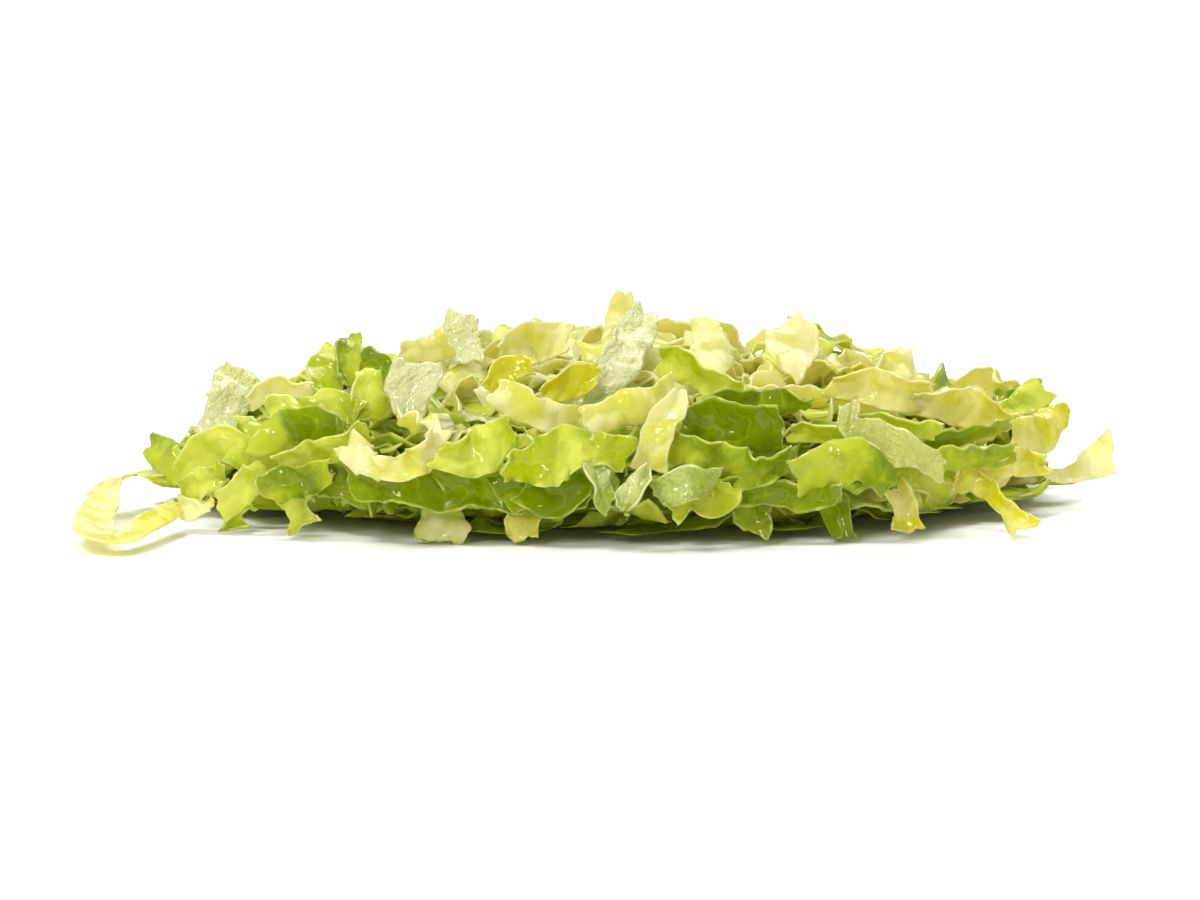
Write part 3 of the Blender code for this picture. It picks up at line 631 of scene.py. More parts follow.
def lens_mesh(name, middle, half_axes, below, sides, rings, roundness=ROUNDNESS):
    """A rounded lens with a flat foot on the table."""
    ways = []
    for ring in range(1, rings):
        rise = math.pi * (0.5 - ring / rings)
        for side in range(sides):
            turn = 2 * math.pi * side / sides
            flat_share = math.cos(rise)
            ways.append((math.cos(turn) * flat_share, math.sin(turn) * flat_share, math.sin(rise)))
    ways += [(0, 0, 1), (0, 0, -1)]
    places = []
    for way in ways:
        axes = (half_axes[0], half_axes[1], half_axes[2] if way[2] > 0 else below)
        place = Vector([w * a for w, a in zip(way, axes)])
        place = place / swell(place, axes, roundness) + Vector(middle)
        place.z = max(place.z, 0)
        places.append(place)
    top, bottom, last = len(ways) - 2, len(ways) - 1, (rings - 2) * sides
    faces = []
    for side in range(sides):
        after = (side + 1) % sides
        faces.append((top, side, after))
        faces.append((bottom, last + after, last + side))
        for start in range(0, last, sides):
            lower = start + sides
            faces.append((start + side, lower + side, lower + after, start + after))
    mesh = bpy.data.meshes.new(name)
    mesh.from_pydata(places, [], faces)
    return mesh


def green_leaf_at(spot, number):
    """Greener low down and to the right, lime on the left, yellow at the right end."""
    if spot.x > 36 * MM and number % 2:
        return "yellow_leaf"
    if number % 3 == 0 or (spot.x < -10 * MM and number % 2):
        return "lime_leaf"
    return "green_leaf"


green_blades = heap_blades(
    "heap_of_green_shreds", GREEN_SEED, GREEN_BLADES, GREEN_CORE, GREEN_CORE_CENTRE,
    GREEN_RISES, GREEN_REACH, green_leaf_at,
)
green_heap = leaf_piece(
    "green_heap", leaf_sheet("green heap", green_blades, FINE_HEAP_STEPS),
    **{"Blister height": HEAP_BLISTERS},
)
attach(green_heap, "root")
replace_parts(green_heap, "heap_of_green_shreds")


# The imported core
# Deep inside the mound the shreds press together in folds, and hardly any light gets there. Only
# its flat foot and the darkest gaps between the outer shreds show it.

GREEN_CORE_BELOW = 7.5 * MM
CORE_SIDES = 160
CORE_RINGS = 80
FOLD_SIZE = 5 * MM
FOLD_DEPTH = 2.2 * MM


def folded_in(mesh):
    """Sinks folds into the core's skin, all but its flat foot."""
    for corner in mesh.vertices:
        place = corner.co / FOLD_SIZE
        ridge = noise.ridged_multi_fractal(place, 0.8, 2.0, 3, 1.0, 2.0)
        foot = min(1.0, corner.co.z / FOLD_DEPTH)
        corner.co -= corner.normal * FOLD_DEPTH * foot * max(0.0, 1.0 - 0.6 * ridge)


def packed_material():
    """Packed leaf folds in shade, deep green and moist, with painted light and shade on their bumps."""
    material = bpy.data.materials.new("packed leaf")
    material.use_nodes = True
    tree = material.node_tree
    tree.nodes.clear()
    place = node(tree, "ShaderNodeTexCoord").outputs["Object"]
    folds = node(
        tree, "ShaderNodeTexNoise", {"Vector": place, "Scale": 260.0, "Detail": 4, "Distortion": 1.2}
    ).outputs[0]
    # Both greens are lighter than the shreds' deepest green: painted light that lifts the shade at the
    # core's foot.
    # Painted light and shade: lighter where the folds' bump rises and darker in its hollows.
    colour = blend(tree, ramp(tree, folds, 0.35, 0.7), (0.32, 0.42, 0.004, 1), (0.60, 0.68, 0.02, 1))
    relief = node(tree, "ShaderNodeBump", {"Height": folds, "Strength": 0.8, "Distance": MM}).outputs[0]
    skin = node(
        tree, "ShaderNodeBsdfPrincipled",
        {"Base Color": colour, "Roughness": ramp(tree, folds, 0.3, 0.7, 0.6, 0.4), "Normal": relief},
    )
    node(tree, "ShaderNodeOutputMaterial", {"Surface": skin.outputs[0]})
    return material


core_sheet = lens_mesh(
    "packed core", GREEN_CORE_CENTRE, GREEN_CORE, GREEN_CORE_BELOW, CORE_SIDES, CORE_RINGS
)
folded_in(core_sheet)
core_sheet.materials.append(packed_material())
core_sheet.shade_smooth()
packed_core = bpy.data.objects.new("packed_core", core_sheet)
bpy.context.scene.collection.objects.link(packed_core)
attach(packed_core, "root")
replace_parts(packed_core, "heap_of_green_shreds")


# The pale heap
# On top lie shreds of the inner leaves, which never saw much sun. They are creamy yellow-green,
# thinner and more waved, and rooted in a small packed core of their own.

PALE_BLADES = 36
PALE_RISES = (0.1, 0.97)
PALE_REACH = 0.36
PALE_SEED = 700


def pale_leaf_at(spot, number):
    """Mostly pale, with lime below on the left and yellow towards the right end."""
    if spot.x > 24 * MM and number % 2:
        return "yellow_leaf"
    if number % 4 == 1:
        return "lime_leaf"
    return "pale_leaf"


pale_blades = heap_blades(
    "heap_of_pale_shreds", PALE_SEED, PALE_BLADES, PALE_CORE, PALE_CORE_CENTRE,
    PALE_RISES, PALE_REACH, pale_leaf_at,
)
pale_heap = leaf_piece(
    "pale_heap", leaf_sheet("pale heap", pale_blades, FINE_HEAP_STEPS),
    **{"Blister height": HEAP_BLISTERS},
)
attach(pale_heap, "root")
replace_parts(pale_heap, "heap_of_pale_shreds")


# The small shreds between
# Short ends and crumbs of leaf fill the mound between its larger shreds. They lie every way over
# it, lean on each other, and are pressed nearly flat where they meet the surface below.

VARIANTS = 20
VARIANT_SEED = 300
VARIANT_STEPS = (16, 5)
VARIANT_LENGTH = (11 * MM, 19 * MM)
VARIANT_WIDTH = (4 * MM, 6.5 * MM)
VARIANT_BOW = 0.18
VARIANT_SWAY = 0.12
VARIANT_TURN = 45
HELD_UP = 50 * MM
SQUASHED = 0.15
LENGTHWISE = 0.3
TUCK = 20


def small_shred_variants():
    """A collection of short shreds, each lying along its own X axis, as thick sheets. Each is
    shaped high above the floor, so that nothing of it is pressed there, and then let down."""
    gathered = bpy.data.collections.new("small shreds")
    bpy.context.scene.collection.children.link(gathered)
    for number in range(VARIANTS):
        draw = random.Random(VARIANT_SEED + number)
        length = draw.uniform(*VARIANT_LENGTH)
        width = draw.uniform(*VARIANT_WIDTH)
        bow = [draw.uniform(-VARIANT_BOW, VARIANT_BOW) * length for _ in ALONG]
        sway = [draw.uniform(-VARIANT_SWAY, VARIANT_SWAY) * length for _ in ALONG]
        line = [(length * share, sway[k], bow[k]) for k, share in enumerate(ALONG)]
        turns = [draw.uniform(-VARIANT_TURN, VARIANT_TURN) for _ in range(3)]
        ruffle = draw.uniform(0.5, 1.0) * MM
        shred = Shred(
            "pale_leaf", line, (0.8 * width, width, 0.6 * width), turns, ruffle, (0, 0, 1), draw,
            rooted=True,
        )
        shred.centre[:, 2] += HELD_UP
        sheet = leaf_sheet(f"small shred {number}", [shred], VARIANT_STEPS)
        sheet.transform(Matrix.Translation((0, 0, -HELD_UP)))
        sheet.attributes.remove(sheet.attributes["tone"])
        piece = leaf_piece(f"small_shred_{number}", sheet)
        gathered.objects.link(piece)
        bpy.context.scene.collection.objects.unlink(piece)
    return gathered


def strewn_tree():
    """Strews small shreds over a dome, leaned and turned at random, and squashes them where
    they reach below the height of the table."""
    tree = bpy.data.node_groups.new("strewn shreds", "GeometryNodeTree")
    tree.interface.new_socket("Dome", in_out="INPUT", socket_type="NodeSocketGeometry")
    tree.interface.new_socket("Shreds", in_out="INPUT", socket_type="NodeSocketCollection")
    for name in (
        "Spacing", "Smallest", "Largest", "Swing", "Lean", "Tuck", "Lowest", "Highest", "Left",
        "Right", "Table",
    ):
        tree.interface.new_socket(name, in_out="INPUT", socket_type="NodeSocketFloat")
    tree.interface.new_socket("Seed", in_out="INPUT", socket_type="NodeSocketInt")
    tree.interface.new_socket("Leaf", in_out="INPUT", socket_type="NodeSocketMaterial")
    tree.interface.new_socket("Strewn", in_out="OUTPUT", socket_type="NodeSocketGeometry")
    given = node(tree, "NodeGroupInput").outputs
    on_dome = node(tree, "GeometryNodeInputPosition").outputs[0]
    place = node(tree, "ShaderNodeSeparateXYZ", {0: on_dome}).outputs
    high_enough = maths(tree, "GREATER_THAN", place[2], given["Lowest"])
    low_enough = maths(tree, "LESS_THAN", place[2], given["Highest"])
    right_enough = maths(tree, "GREATER_THAN", place[0], given["Left"])
    left_enough = maths(tree, "LESS_THAN", place[0], given["Right"])
    in_height = maths(tree, "MULTIPLY", high_enough, low_enough)
    in_width = maths(tree, "MULTIPLY", right_enough, left_enough)
    chosen = maths(tree, "MULTIPLY", in_height, in_width)
    points = node(
        tree, "GeometryNodeDistributePointsOnFaces",
        {"Mesh": given["Dome"], "Selection": chosen, "Distance Min": given["Spacing"],
         "Density Max": 400000.0, "Density Factor": 1.0, "Seed": given["Seed"]},
        distribute_method="POISSON",
    )

    def random_between(low, high, number):
        seed = maths(tree, "ADD", given["Seed"], float(number))
        return node(
            tree, "FunctionNodeRandomValue", {2: low, 3: high, "Seed": seed}, data_type="FLOAT"
        ).outputs[1]

    out = points.outputs["Normal"]
    level = node(
        tree, "ShaderNodeVectorMath", {0: (0, 0, 1), 1: out}, operation="CROSS_PRODUCT"
    ).outputs[0]
    length_way = node(
        tree, "ShaderNodeVectorMath", {0: level, 1: (LENGTHWISE, 0, 0)}, operation="ADD"
    ).outputs[0]
    facing_out = node(
        tree, "FunctionNodeAlignRotationToVector", {"Vector": out}, axis="Z"
    ).outputs[0]
    laid_level = node(
        tree, "FunctionNodeAlignRotationToVector", {"Rotation": facing_out, "Vector": length_way},
        axis="X", pivot_axis="Z",
    ).outputs[0]
    back_lean = maths(tree, "MULTIPLY", given["Lean"], -1.0)
    back_swing = maths(tree, "MULTIPLY", given["Swing"], -1.0)
    lean = maths(tree, "SUBTRACT", random_between(back_lean, given["Lean"], 1), given["Tuck"])
    swing = random_between(back_swing, given["Swing"], 3)
    angles = node(tree, "ShaderNodeCombineXYZ", {0: lean, 2: swing}).outputs[0]
    leaned = node(
        tree, "FunctionNodeRotateRotation",
        {0: laid_level, 1: node(tree, "FunctionNodeEulerToRotation", {0: angles}).outputs[0]},
        rotation_space="LOCAL",
    ).outputs[0]
    kinds = node(
        tree, "GeometryNodeCollectionInfo",
        {"Collection": given["Shreds"], "Separate Children": True, "Reset Children": True},
    ).outputs[0]
    placed = node(
        tree, "GeometryNodeInstanceOnPoints",
        {"Points": points.outputs["Points"], "Instance": kinds, "Pick Instance": True,
         "Rotation": leaned, "Scale": random_between(given["Smallest"], given["Largest"], 4)},
    ).outputs[0]
    toned = node(
        tree, "GeometryNodeStoreNamedAttribute",
        {"Geometry": placed, "Name": "tone", "Value": random_between(-1.0, 1.0, 5)},
        data_type="FLOAT", domain="INSTANCE",
    ).outputs[0]
    real = node(tree, "GeometryNodeRealizeInstances", {0: toned}).outputs[0]
    on_shred = node(tree, "GeometryNodeInputPosition").outputs[0]
    corner = node(tree, "ShaderNodeSeparateXYZ", {0: on_shred}).outputs
    held = maths(tree, "MULTIPLY", given["Table"], 1 - SQUASHED)
    squashed = maths(tree, "MULTIPLY_ADD", corner[2], SQUASHED, held)
    pressed = node(
        tree, "ShaderNodeCombineXYZ",
        {0: corner[0], 1: corner[1], 2: maths(tree, "MAXIMUM", corner[2], squashed)},
    ).outputs[0]
    laid = node(tree, "GeometryNodeSetPosition", {"Geometry": real, "Position": pressed}).outputs[0]
    smooth = node(tree, "GeometryNodeSetShadeSmooth", {0: laid}).outputs[0]
    dressed = node(tree, "GeometryNodeSetMaterial", {"Geometry": smooth, "Material": given["Leaf"]})
    node(tree, "NodeGroupOutput", {"Strewn": dressed.outputs[0]})
    return tree


small_shreds = small_shred_variants()
strewn = strewn_tree()
DOME_ROUNDNESS = 2.0
DOME_SIDES = 64
DOME_RINGS = 32

# What the shreds lie over: a dome's half sizes, and the height where they meet what is below
MOUND_DOME = ((54 * MM, 38 * MM, 16.5 * MM), 2.8 * MM)
FOOT_DOME = ((49 * MM, 37 * MM, 5 * MM), 1.6 * MM)

# For each, in mm, its spacing, the heights that it keeps between and the same to the right; then
# its scales, how far it swings and leans, in degrees, and its seed
STREWN = (
    ("small_green_shreds", "green_leaf", MOUND_DOME,
     5.4, (4.5, 10.5), (-60, 60), (0.9, 1.3), 16, 35, 115),
    ("small_lime_shreds", "lime_leaf", MOUND_DOME,
     6.2, (5.0, 14.0), (-60, 45), (0.8, 1.2), 30, 35, 103),
    ("small_pale_shreds", "pale_leaf", MOUND_DOME,
     5.6, (10.5, 30.0), (-32, 60), (0.8, 1.25), 60, 16, 113),
    ("small_yellow_shreds", "yellow_leaf", MOUND_DOME,
     6.0, (4.0, 15.0), (32, 60), (0.8, 1.2), 25, 35, 103),
    ("small_rib_chips", "clear_rib", MOUND_DOME,
     13.0, (8.0, 30.0), (-60, 60), (0.7, 1.0), 90, 30, 114),
    ("small_pale_crumbs", "pale_leaf", MOUND_DOME,
     4.4, (13.0, 30.0), (-34, 60), (0.4, 0.65), 180, 30, 117),
    ("small_lime_crumbs", "lime_leaf", MOUND_DOME,
     6.0, (5.0, 15.0), (-60, 60), (0.4, 0.6), 180, 35, 109),
    ("small_shreds_at_foot", "green_leaf", FOOT_DOME,
     5.0, (1.2, 4.2), (-50, 50), (0.8, 1.1), 20, 25, 71),
)


def strewn_piece(name, leaf, lies_over, spacing, heights, sides, scales, swing, lean, seed):
    """Small shreds of one kind of leaf, strewn over their dome as one piece."""
    half_axes, table = lies_over
    dome = lens_mesh(
        name, (0, 0, 0), half_axes, half_axes[2], DOME_SIDES, DOME_RINGS, DOME_ROUNDNESS
    )
    piece = bpy.data.objects.new(name, dome)
    bpy.context.scene.collection.objects.link(piece)
    strew = piece.modifiers.new("strewn", "NODES")
    strew.node_group = strewn
    set_inputs(strew, {
        "Shreds": small_shreds, "Spacing": spacing * MM, "Smallest": scales[0],
        "Largest": scales[1], "Swing": math.radians(swing), "Lean": math.radians(lean),
        "Tuck": math.radians(TUCK), "Lowest": heights[0] * MM, "Highest": heights[1] * MM,
        "Left": sides[0] * MM, "Right": sides[1] * MM, "Table": table, "Seed": seed,
        "Leaf": leaf_materials[leaf],
    })
    return made_plain(piece)


for name, leaf, *how_strewn in STREWN:
    piece = strewn_piece(name, leaf, *how_strewn)
    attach(piece, "root")
for piece in list(small_shreds.objects):
    bpy.data.objects.remove(piece)
bpy.data.collections.remove(small_shreds)


# The loose shreds of the front
# These lie at the outside of the mound, each on its own, and are the ones that catch the eye: long
# waved ribbons, folded leaves, a few watery ribs, and the tongues that hang out at the foot.

SIGHT_RISE = math.radians(8)
MOUND = (57 * MM, 40 * MM, 21 * MM)
FOLLOWS_SLOPE = 0.35
LOOSE_STEPS = (8, 2)
FEWEST_ROWS = 40
ROW_SIZE = 0.3 * MM
FINE_COLUMNS = 16
FIRST_DEPTH = 1.2
DEPTH_STEPS = 240
LIFT_STEP = 0.5 * MM
MOST_LIFTS = 40
FRONT_SEED = 100
FRONT_FACING = (0, -1, 0.25)

FRONT_SHREDS = (
    ("spike_chip_top", "pale_leaf", (4.5, 4.0, 2.0), (10, -10, 20), 0.5,
     ((1.0, 17.5, -6), (1.5, 21.0, -6), (2.2, 25.4, -6))),
    ("square_chip_top_left", "clear_rib", (4.4, 4.4, 3.6), (-10, 0, 15), 0.3,
     ((-17.4, 16.5, 0), (-17.6, 19.2, 0), (-17.4, 22.6, 0))),
    ("strand_top_left", "pale_leaf", (2.2, 3.0, 3.6), (0, 30, 10), 0.4,
     ((-25.0, 17.4, 1), (-22.0, 17.8, 1), (-19.2, 19.0, 2))),
    ("crest_chip_left", "pale_leaf", (4.0, 5.5, 3.5), (30, 20, 10), 0.6,
     ((-13.0, 17.0, 0), (-9.0, 19.2, 0), (-4.5, 19.6, 0))),
    ("crest_chip_middle", "pale_leaf", (3.5, 5.0, 3.0), (15, 0, -15), 0.6,
     ((12.4, 14.6, 1), (12.6, 18.2, 1), (12.0, 21.8, 1))),
    ("crest_chip_right", "pale_leaf", (5.0, 6.8, 3.2), (5, -8, 10), 0.5,
     ((21.0, 15.6, 1), (22.8, 18.4, 1), (24.4, 21.6, 1))),
    ("far_right_chip", "pale_leaf", (4.0, 4.0, 2.0), (10, 0, -20), 0.5,
     ((33.0, 13.8, 1), (35.0, 16.0, 1), (36.4, 18.2, 1))),
    ("right_rim_chip", "lime_leaf", (3.0, 3.4, 3.4), (-20, 0, 20), 0.4,
     ((48.0, 10.0, 1), (50.6, 11.6, 1), (53.4, 13.6, 1))),
    ("right_rim_leaf", "yellow_leaf", (3.8, 5.0, 2.2), (10, 0, -15), 0.7,
     ((48.8, 7.2, 1), (52.4, 8.0, 1), (56.2, 10.6, 1))),
    ("pale_chip_upper_left", "clear_rib", (4.5, 5.6, 4.6), (-15, 0, 15), 0.6,
     ((-47.4, 7.6, 1), (-46.2, 11.6, 1), (-44.4, 15.4, 1))),
    ("long_pale_left", "pale_leaf", (2.4, 3.0, 2.4), (30, 20, 40), 0.5,
     ((-43.4, 12.0, 1), (-40.0, 13.6, 1), (-35.6, 13.4, 1))),
    ("green_chip_left_a", "lime_leaf", (3.0, 3.8, 2.6), (-10, 0, 25), 0.5,
     ((-34.0, 12.8, 1), (-34.4, 15.8, 1), (-33.4, 18.4, 1))),
    ("green_chip_left_b", "green_leaf", (3.0, 3.4, 1.6), (20, 5, -20), 0.5,
     ((-31.2, 13.4, 2), (-31.4, 16.6, 2), (-30.4, 19.6, 2))),
    ("green_leaf_left", "green_leaf", (3.0, 3.4, 2.0), (30, 10, -10), 0.6,
     ((-29.6, 16.6, 1), (-27.0, 15.8, 1), (-24.4, 14.6, 1))),
    ("lime_chip_left", "lime_leaf", (4.0, 4.4, 3.0), (10, 0, -15), 0.4,
     ((-29.2, 9.4, 2), (-29.0, 12.6, 2), (-28.6, 15.4, 2))),
    ("left_corner_leaf", "green_leaf", (2.4, 4.0, 4.0), (10, -10, 10), 0.5,
     ((-55.6, 6.8, 1), (-53.6, 5.2, 1), (-51.0, 3.2, 1))),
    ("left_side_leaf", "lime_leaf", (3.6, 5.2, 4.0), (20, 0, -10), 0.6,
     ((-51.6, 3.0, 2), (-48.6, 5.2, 2), (-45.6, 6.8, 2), (-43.0, 4.6, 2))),
    ("folded_leaf_left", "green_leaf", (4.6, 5.2, 3.6), (-35, 15, 45), 0.8,
     ((-43.2, 7.0, 3), (-40.4, 7.8, 3), (-36.6, 8.6, 3), (-31.4, 7.6, 2))),
    ("lime_leaf_left", "lime_leaf", (2.4, 3.4, 2.6), (10, 25, 10), 0.7,
     ((-39.6, 4.6, 3), (-35.6, 5.2, 3), (-32.0, 6.6, 3), (-28.8, 8.6, 3))),
    ("low_leaf_left_a", "lime_leaf", (2.8, 3.6, 2.4), (15, 0, 20), 0.7,
     ((-50.4, 0.4, 1), (-48.2, 1.6, 1), (-45.2, 3.2, 1))),
    ("low_leaf_left_b", "lime_leaf", (3.2, 4.0, 3.0), (-10, 15, 5), 0.8,
     ((-46.8, -0.6, 3), (-44.0, 1.2, 3), (-40.6, 3.6, 3))),
    ("low_leaf_left_c", "green_leaf", (4.0, 4.6, 3.0), (25, 5, 20), 1.0,
     ((-40.6, 0.2, 2), (-36.8, 2.2, 2), (-32.8, 3.6, 2))),
    ("clear_chip_middle_left", "clear_rib", (4.0, 6.2, 5.0), (10, -5, 10), 0.5,
     ((-24.0, 9.4, 3), (-23.6, 12.6, 3), (-22.8, 16.2, 3))),
    ("curled_shred", "pale_leaf", (3.4, 3.2, 3.4), (0, 30, 60), 0.8,
     ((-31.0, 6.8, 3), (-28.6, 4.4, 5), (-25.0, 3.6, 7), (-21.6, 5.6, 6), (-21.4, 8.6, 3),
      (-25.0, 9.4, 2))),
    ("middle_left_leaf", "lime_leaf", (3.6, 5.6, 3.4), (15, -10, 25), 0.9,
     ((-20.2, 5.2, 3), (-17.4, 4.8, 3), (-14.4, 6.2, 3), (-11.4, 8.4, 3))),
    ("ruffled_leaf_middle", "pale_leaf", (3.6, 4.2, 2.4), (-20, 20, 35), 0.8,
     ((-13.4, 13.4, 3), (-10.8, 11.6, 3), (-8.0, 10.4, 3), (-3.4, 10.2, 2))),
    ("broad_leaf_middle", "lime_leaf", (3.4, 6.0, 3.6), (25, 5, -15), 0.9,
     ((-12.4, 3.4, 3), (-8.0, 4.4, 4), (-3.6, 5.6, 4), (2.6, 5.0, 4))),
    ("green_ribbon_right", "green_leaf", (2.6, 3.4, 2.6), (30, -10, 40), 0.9,
     ((10.6, 9.4, 0), (14.0, 11.6, 0), (18.6, 11.6, 0), (24.4, 11.8, 0))),
    ("leaf_upper_right", "lime_leaf", (3.4, 4.4, 2.4), (10, 25, 40), 0.6,
     ((6.6, 17.0, 1), (10.2, 15.6, 2), (13.6, 13.8, 2), (16.6, 12.2, 2))),
    ("flat_leaf_right", "green_leaf", (2.0, 2.8, 1.6), (50, 35, 40), 0.3,
     ((36.4, 6.6, 1), (40.8, 7.6, 1), (45.0, 8.4, 1), (48.8, 9.4, 1))),
    ("wave_leaf_right", "green_leaf", (3.6, 4.6, 3.0), (10, 30, 0), 1.0,
     ((7.6, 6.6, 3), (12.4, 5.6, 3), (17.4, 3.8, 3), (21.8, 4.6, 3))),
    ("glossy_leaf_right", "green_leaf", (4.4, 5.2, 3.2), (20, 5, -15), 0.7,
     ((22.4, 2.2, 3), (26.6, 4.2, 3), (30.6, 4.2, 3), (34.0, 1.8, 3))),
    ("wavy_ribbon_right", "clear_rib", (2.4, 4.6, 2.6), (-20, 15, 0), 0.7,
     ((29.0, 11.4, 3), (29.2, 8.4, 4), (32.8, 7.0, 4), (36.2, 6.0, 4), (40.4, 3.4, 4))),
    ("tongue_far_left", "lime_leaf", (3.6, 2.4, 3.8), (10, -15, 10), 0.4,
     ((-43.6, 0.2, -2), (-45.2, -2.0, -1), (-44.8, -4.4, 0))),
    ("tongue_left", "lime_leaf", (3.8, 3.0, 4.2), (-10, 15, 0), 0.4,
     ((-37.4, 0.2, -2), (-36.9, -1.6, -1), (-36.5, -3.4, 0))),
    ("tongue_low_left", "pale_leaf", (5.4, 6.2, 4.6), (0, 5, -5), 0.4,
     ((-19.8, -0.6, -2), (-19.8, -3.0, -1), (-19.8, -5.6, 0))),
    ("tongue_middle_right", "green_leaf", (6.0, 5.0, 3.4), (10, 0, -15), 0.5,
     ((17.6, 0.0, -2), (17.2, -2.0, -1), (17.4, -4.0, 0))),
    ("tongue_right", "yellow_leaf", (3.0, 3.4, 4.2), (15, 0, -20), 0.5,
     ((34.8, 1.6, -2), (35.8, -1.2, -1), (36.2, -3.8, 0))),
    ("tongue_low_right", "green_leaf", (3.6, 3.2, 1.8), (20, 0, 10), 0.3,
     ((26.4, 0.2, -2), (27.6, -2.2, -1), (28.8, -5.4, 0))),
    ("tongue_low_middle", "yellow_leaf", (4.2, 4.6, 3.2), (-15, 0, 15), 0.6,
     ((-9.8, 0.0, -2), (-9.8, -2.2, -1), (-9.6, -4.6, 0))),
    ("yellow_tail_right", "yellow_leaf", (2.8, 2.4, 3.4), (0, 25, -20), 0.5,
     ((43.2, 3.6, -1), (46.6, 0.6, 2), (50.4, -3.4, 9))),
    ("looped_shred_left", "pale_leaf", (2.2, 4.6, 2.0), (70, 35, 75), 0.3,
     ((-52.6, 3.4, 2), (-56.8, 3.2, 4), (-60.2, 1.8, 10), (-60.8, -1.2, 22), (-60.4, -4.0, 37),
      (-57.2, -4.6, 40), (-54.4, -2.6, 26), (-51.0, -0.4, 12))),
    ("tail_shred_right", "pale_leaf", (1.6, 2.4, 6.4), (20, -20, 5), 0.4,
     ((53.4, 3.0, 2), (56.4, 3.0, 2), (59.2, 4.4, 2), (61.8, 6.0, 2))),
    ("rib_shred_middle", "clear_rib", (3.4, 5.2, 2.4), (-10, 5, 0), 0.5,
     ((4.4, 22.4, 1), (2.8, 18.8, 3), (0.4, 14.8, 4), (-2.8, 9.4, 4))),
    ("arched_shred_middle", "pale_leaf", (4.2, 3.8, 3.2), (-25, 10, 20), 0.5,
     ((-2.6, 9.2, 6), (1.6, 10.8, 5), (5.0, 11.6, 5), (8.4, 14.2, 5))),
    ("forked_shred_middle", "pale_leaf", (2.2, 4.0, 4.6), (-20, 10, -10), 0.6,
     ((8.6, 12.8, 3), (7.2, 9.8, 4), (5.8, 6.6, 5), (4.6, 3.4, 5))),
)


def seen_at(right, up, y):
    """The place at depth y that is seen at (right, up) from the front and a little above."""
    return Vector((right, y, (up - y * math.sin(SIGHT_RISE)) / math.cos(SIGHT_RISE)))


def depth_of_mound(right, up):
    """How far back the mound's outside is where it is seen at (right, up) from the front."""
    for step in range(DEPTH_STEPS):
        y = -FIRST_DEPTH * MOUND[1] * (1 - step / DEPTH_STEPS)
        if swell(seen_at(right, up, y), MOUND) <= 1:
            break
    return y


def line_on_mound(points):
    """A shred's line from the places where its points are seen. It leans only a little with
    the mound's side, so that a short chip stands up and isn't stretched over the slope."""
    own = [depth_of_mound(right, up) for right, up, _ in points]
    middle = sum(own) / len(own)
    return [
        seen_at(right, up, middle + (y - middle) * FOLLOWS_SLOPE - off)
        for (right, up, off), y in zip(points, own)
    ]


def settle(shred, outward, solid):
    """Moves the shred out to where the frame holds its solid."""
    low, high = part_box(solid)
    middle = np.array((low + high) / 2)
    misses = []
    for lifts in range(MOST_LIFTS + 1):
        shred.shift = np.array(outward) * LIFT_STEP * lifts
        coarse = shred.surface(*LOOSE_STEPS).reshape(-1, 3)
        misses.append(np.linalg.norm((coarse.min(0) + coarse.max(0)) / 2 - middle))
    shred.shift = np.array(outward) * LIFT_STEP * misses.index(min(misses))


def loose_piece(name, shred, **relief_sizes):
    """A loose shred's own piece."""
    rows = max(FEWEST_ROWS, round(shred.length / ROW_SIZE))
    sheet = leaf_sheet(name, [shred], (rows, FINE_COLUMNS))
    piece = leaf_piece(f"{name}_leaf", sheet, **relief_sizes)
    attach(piece, "root")
    return piece
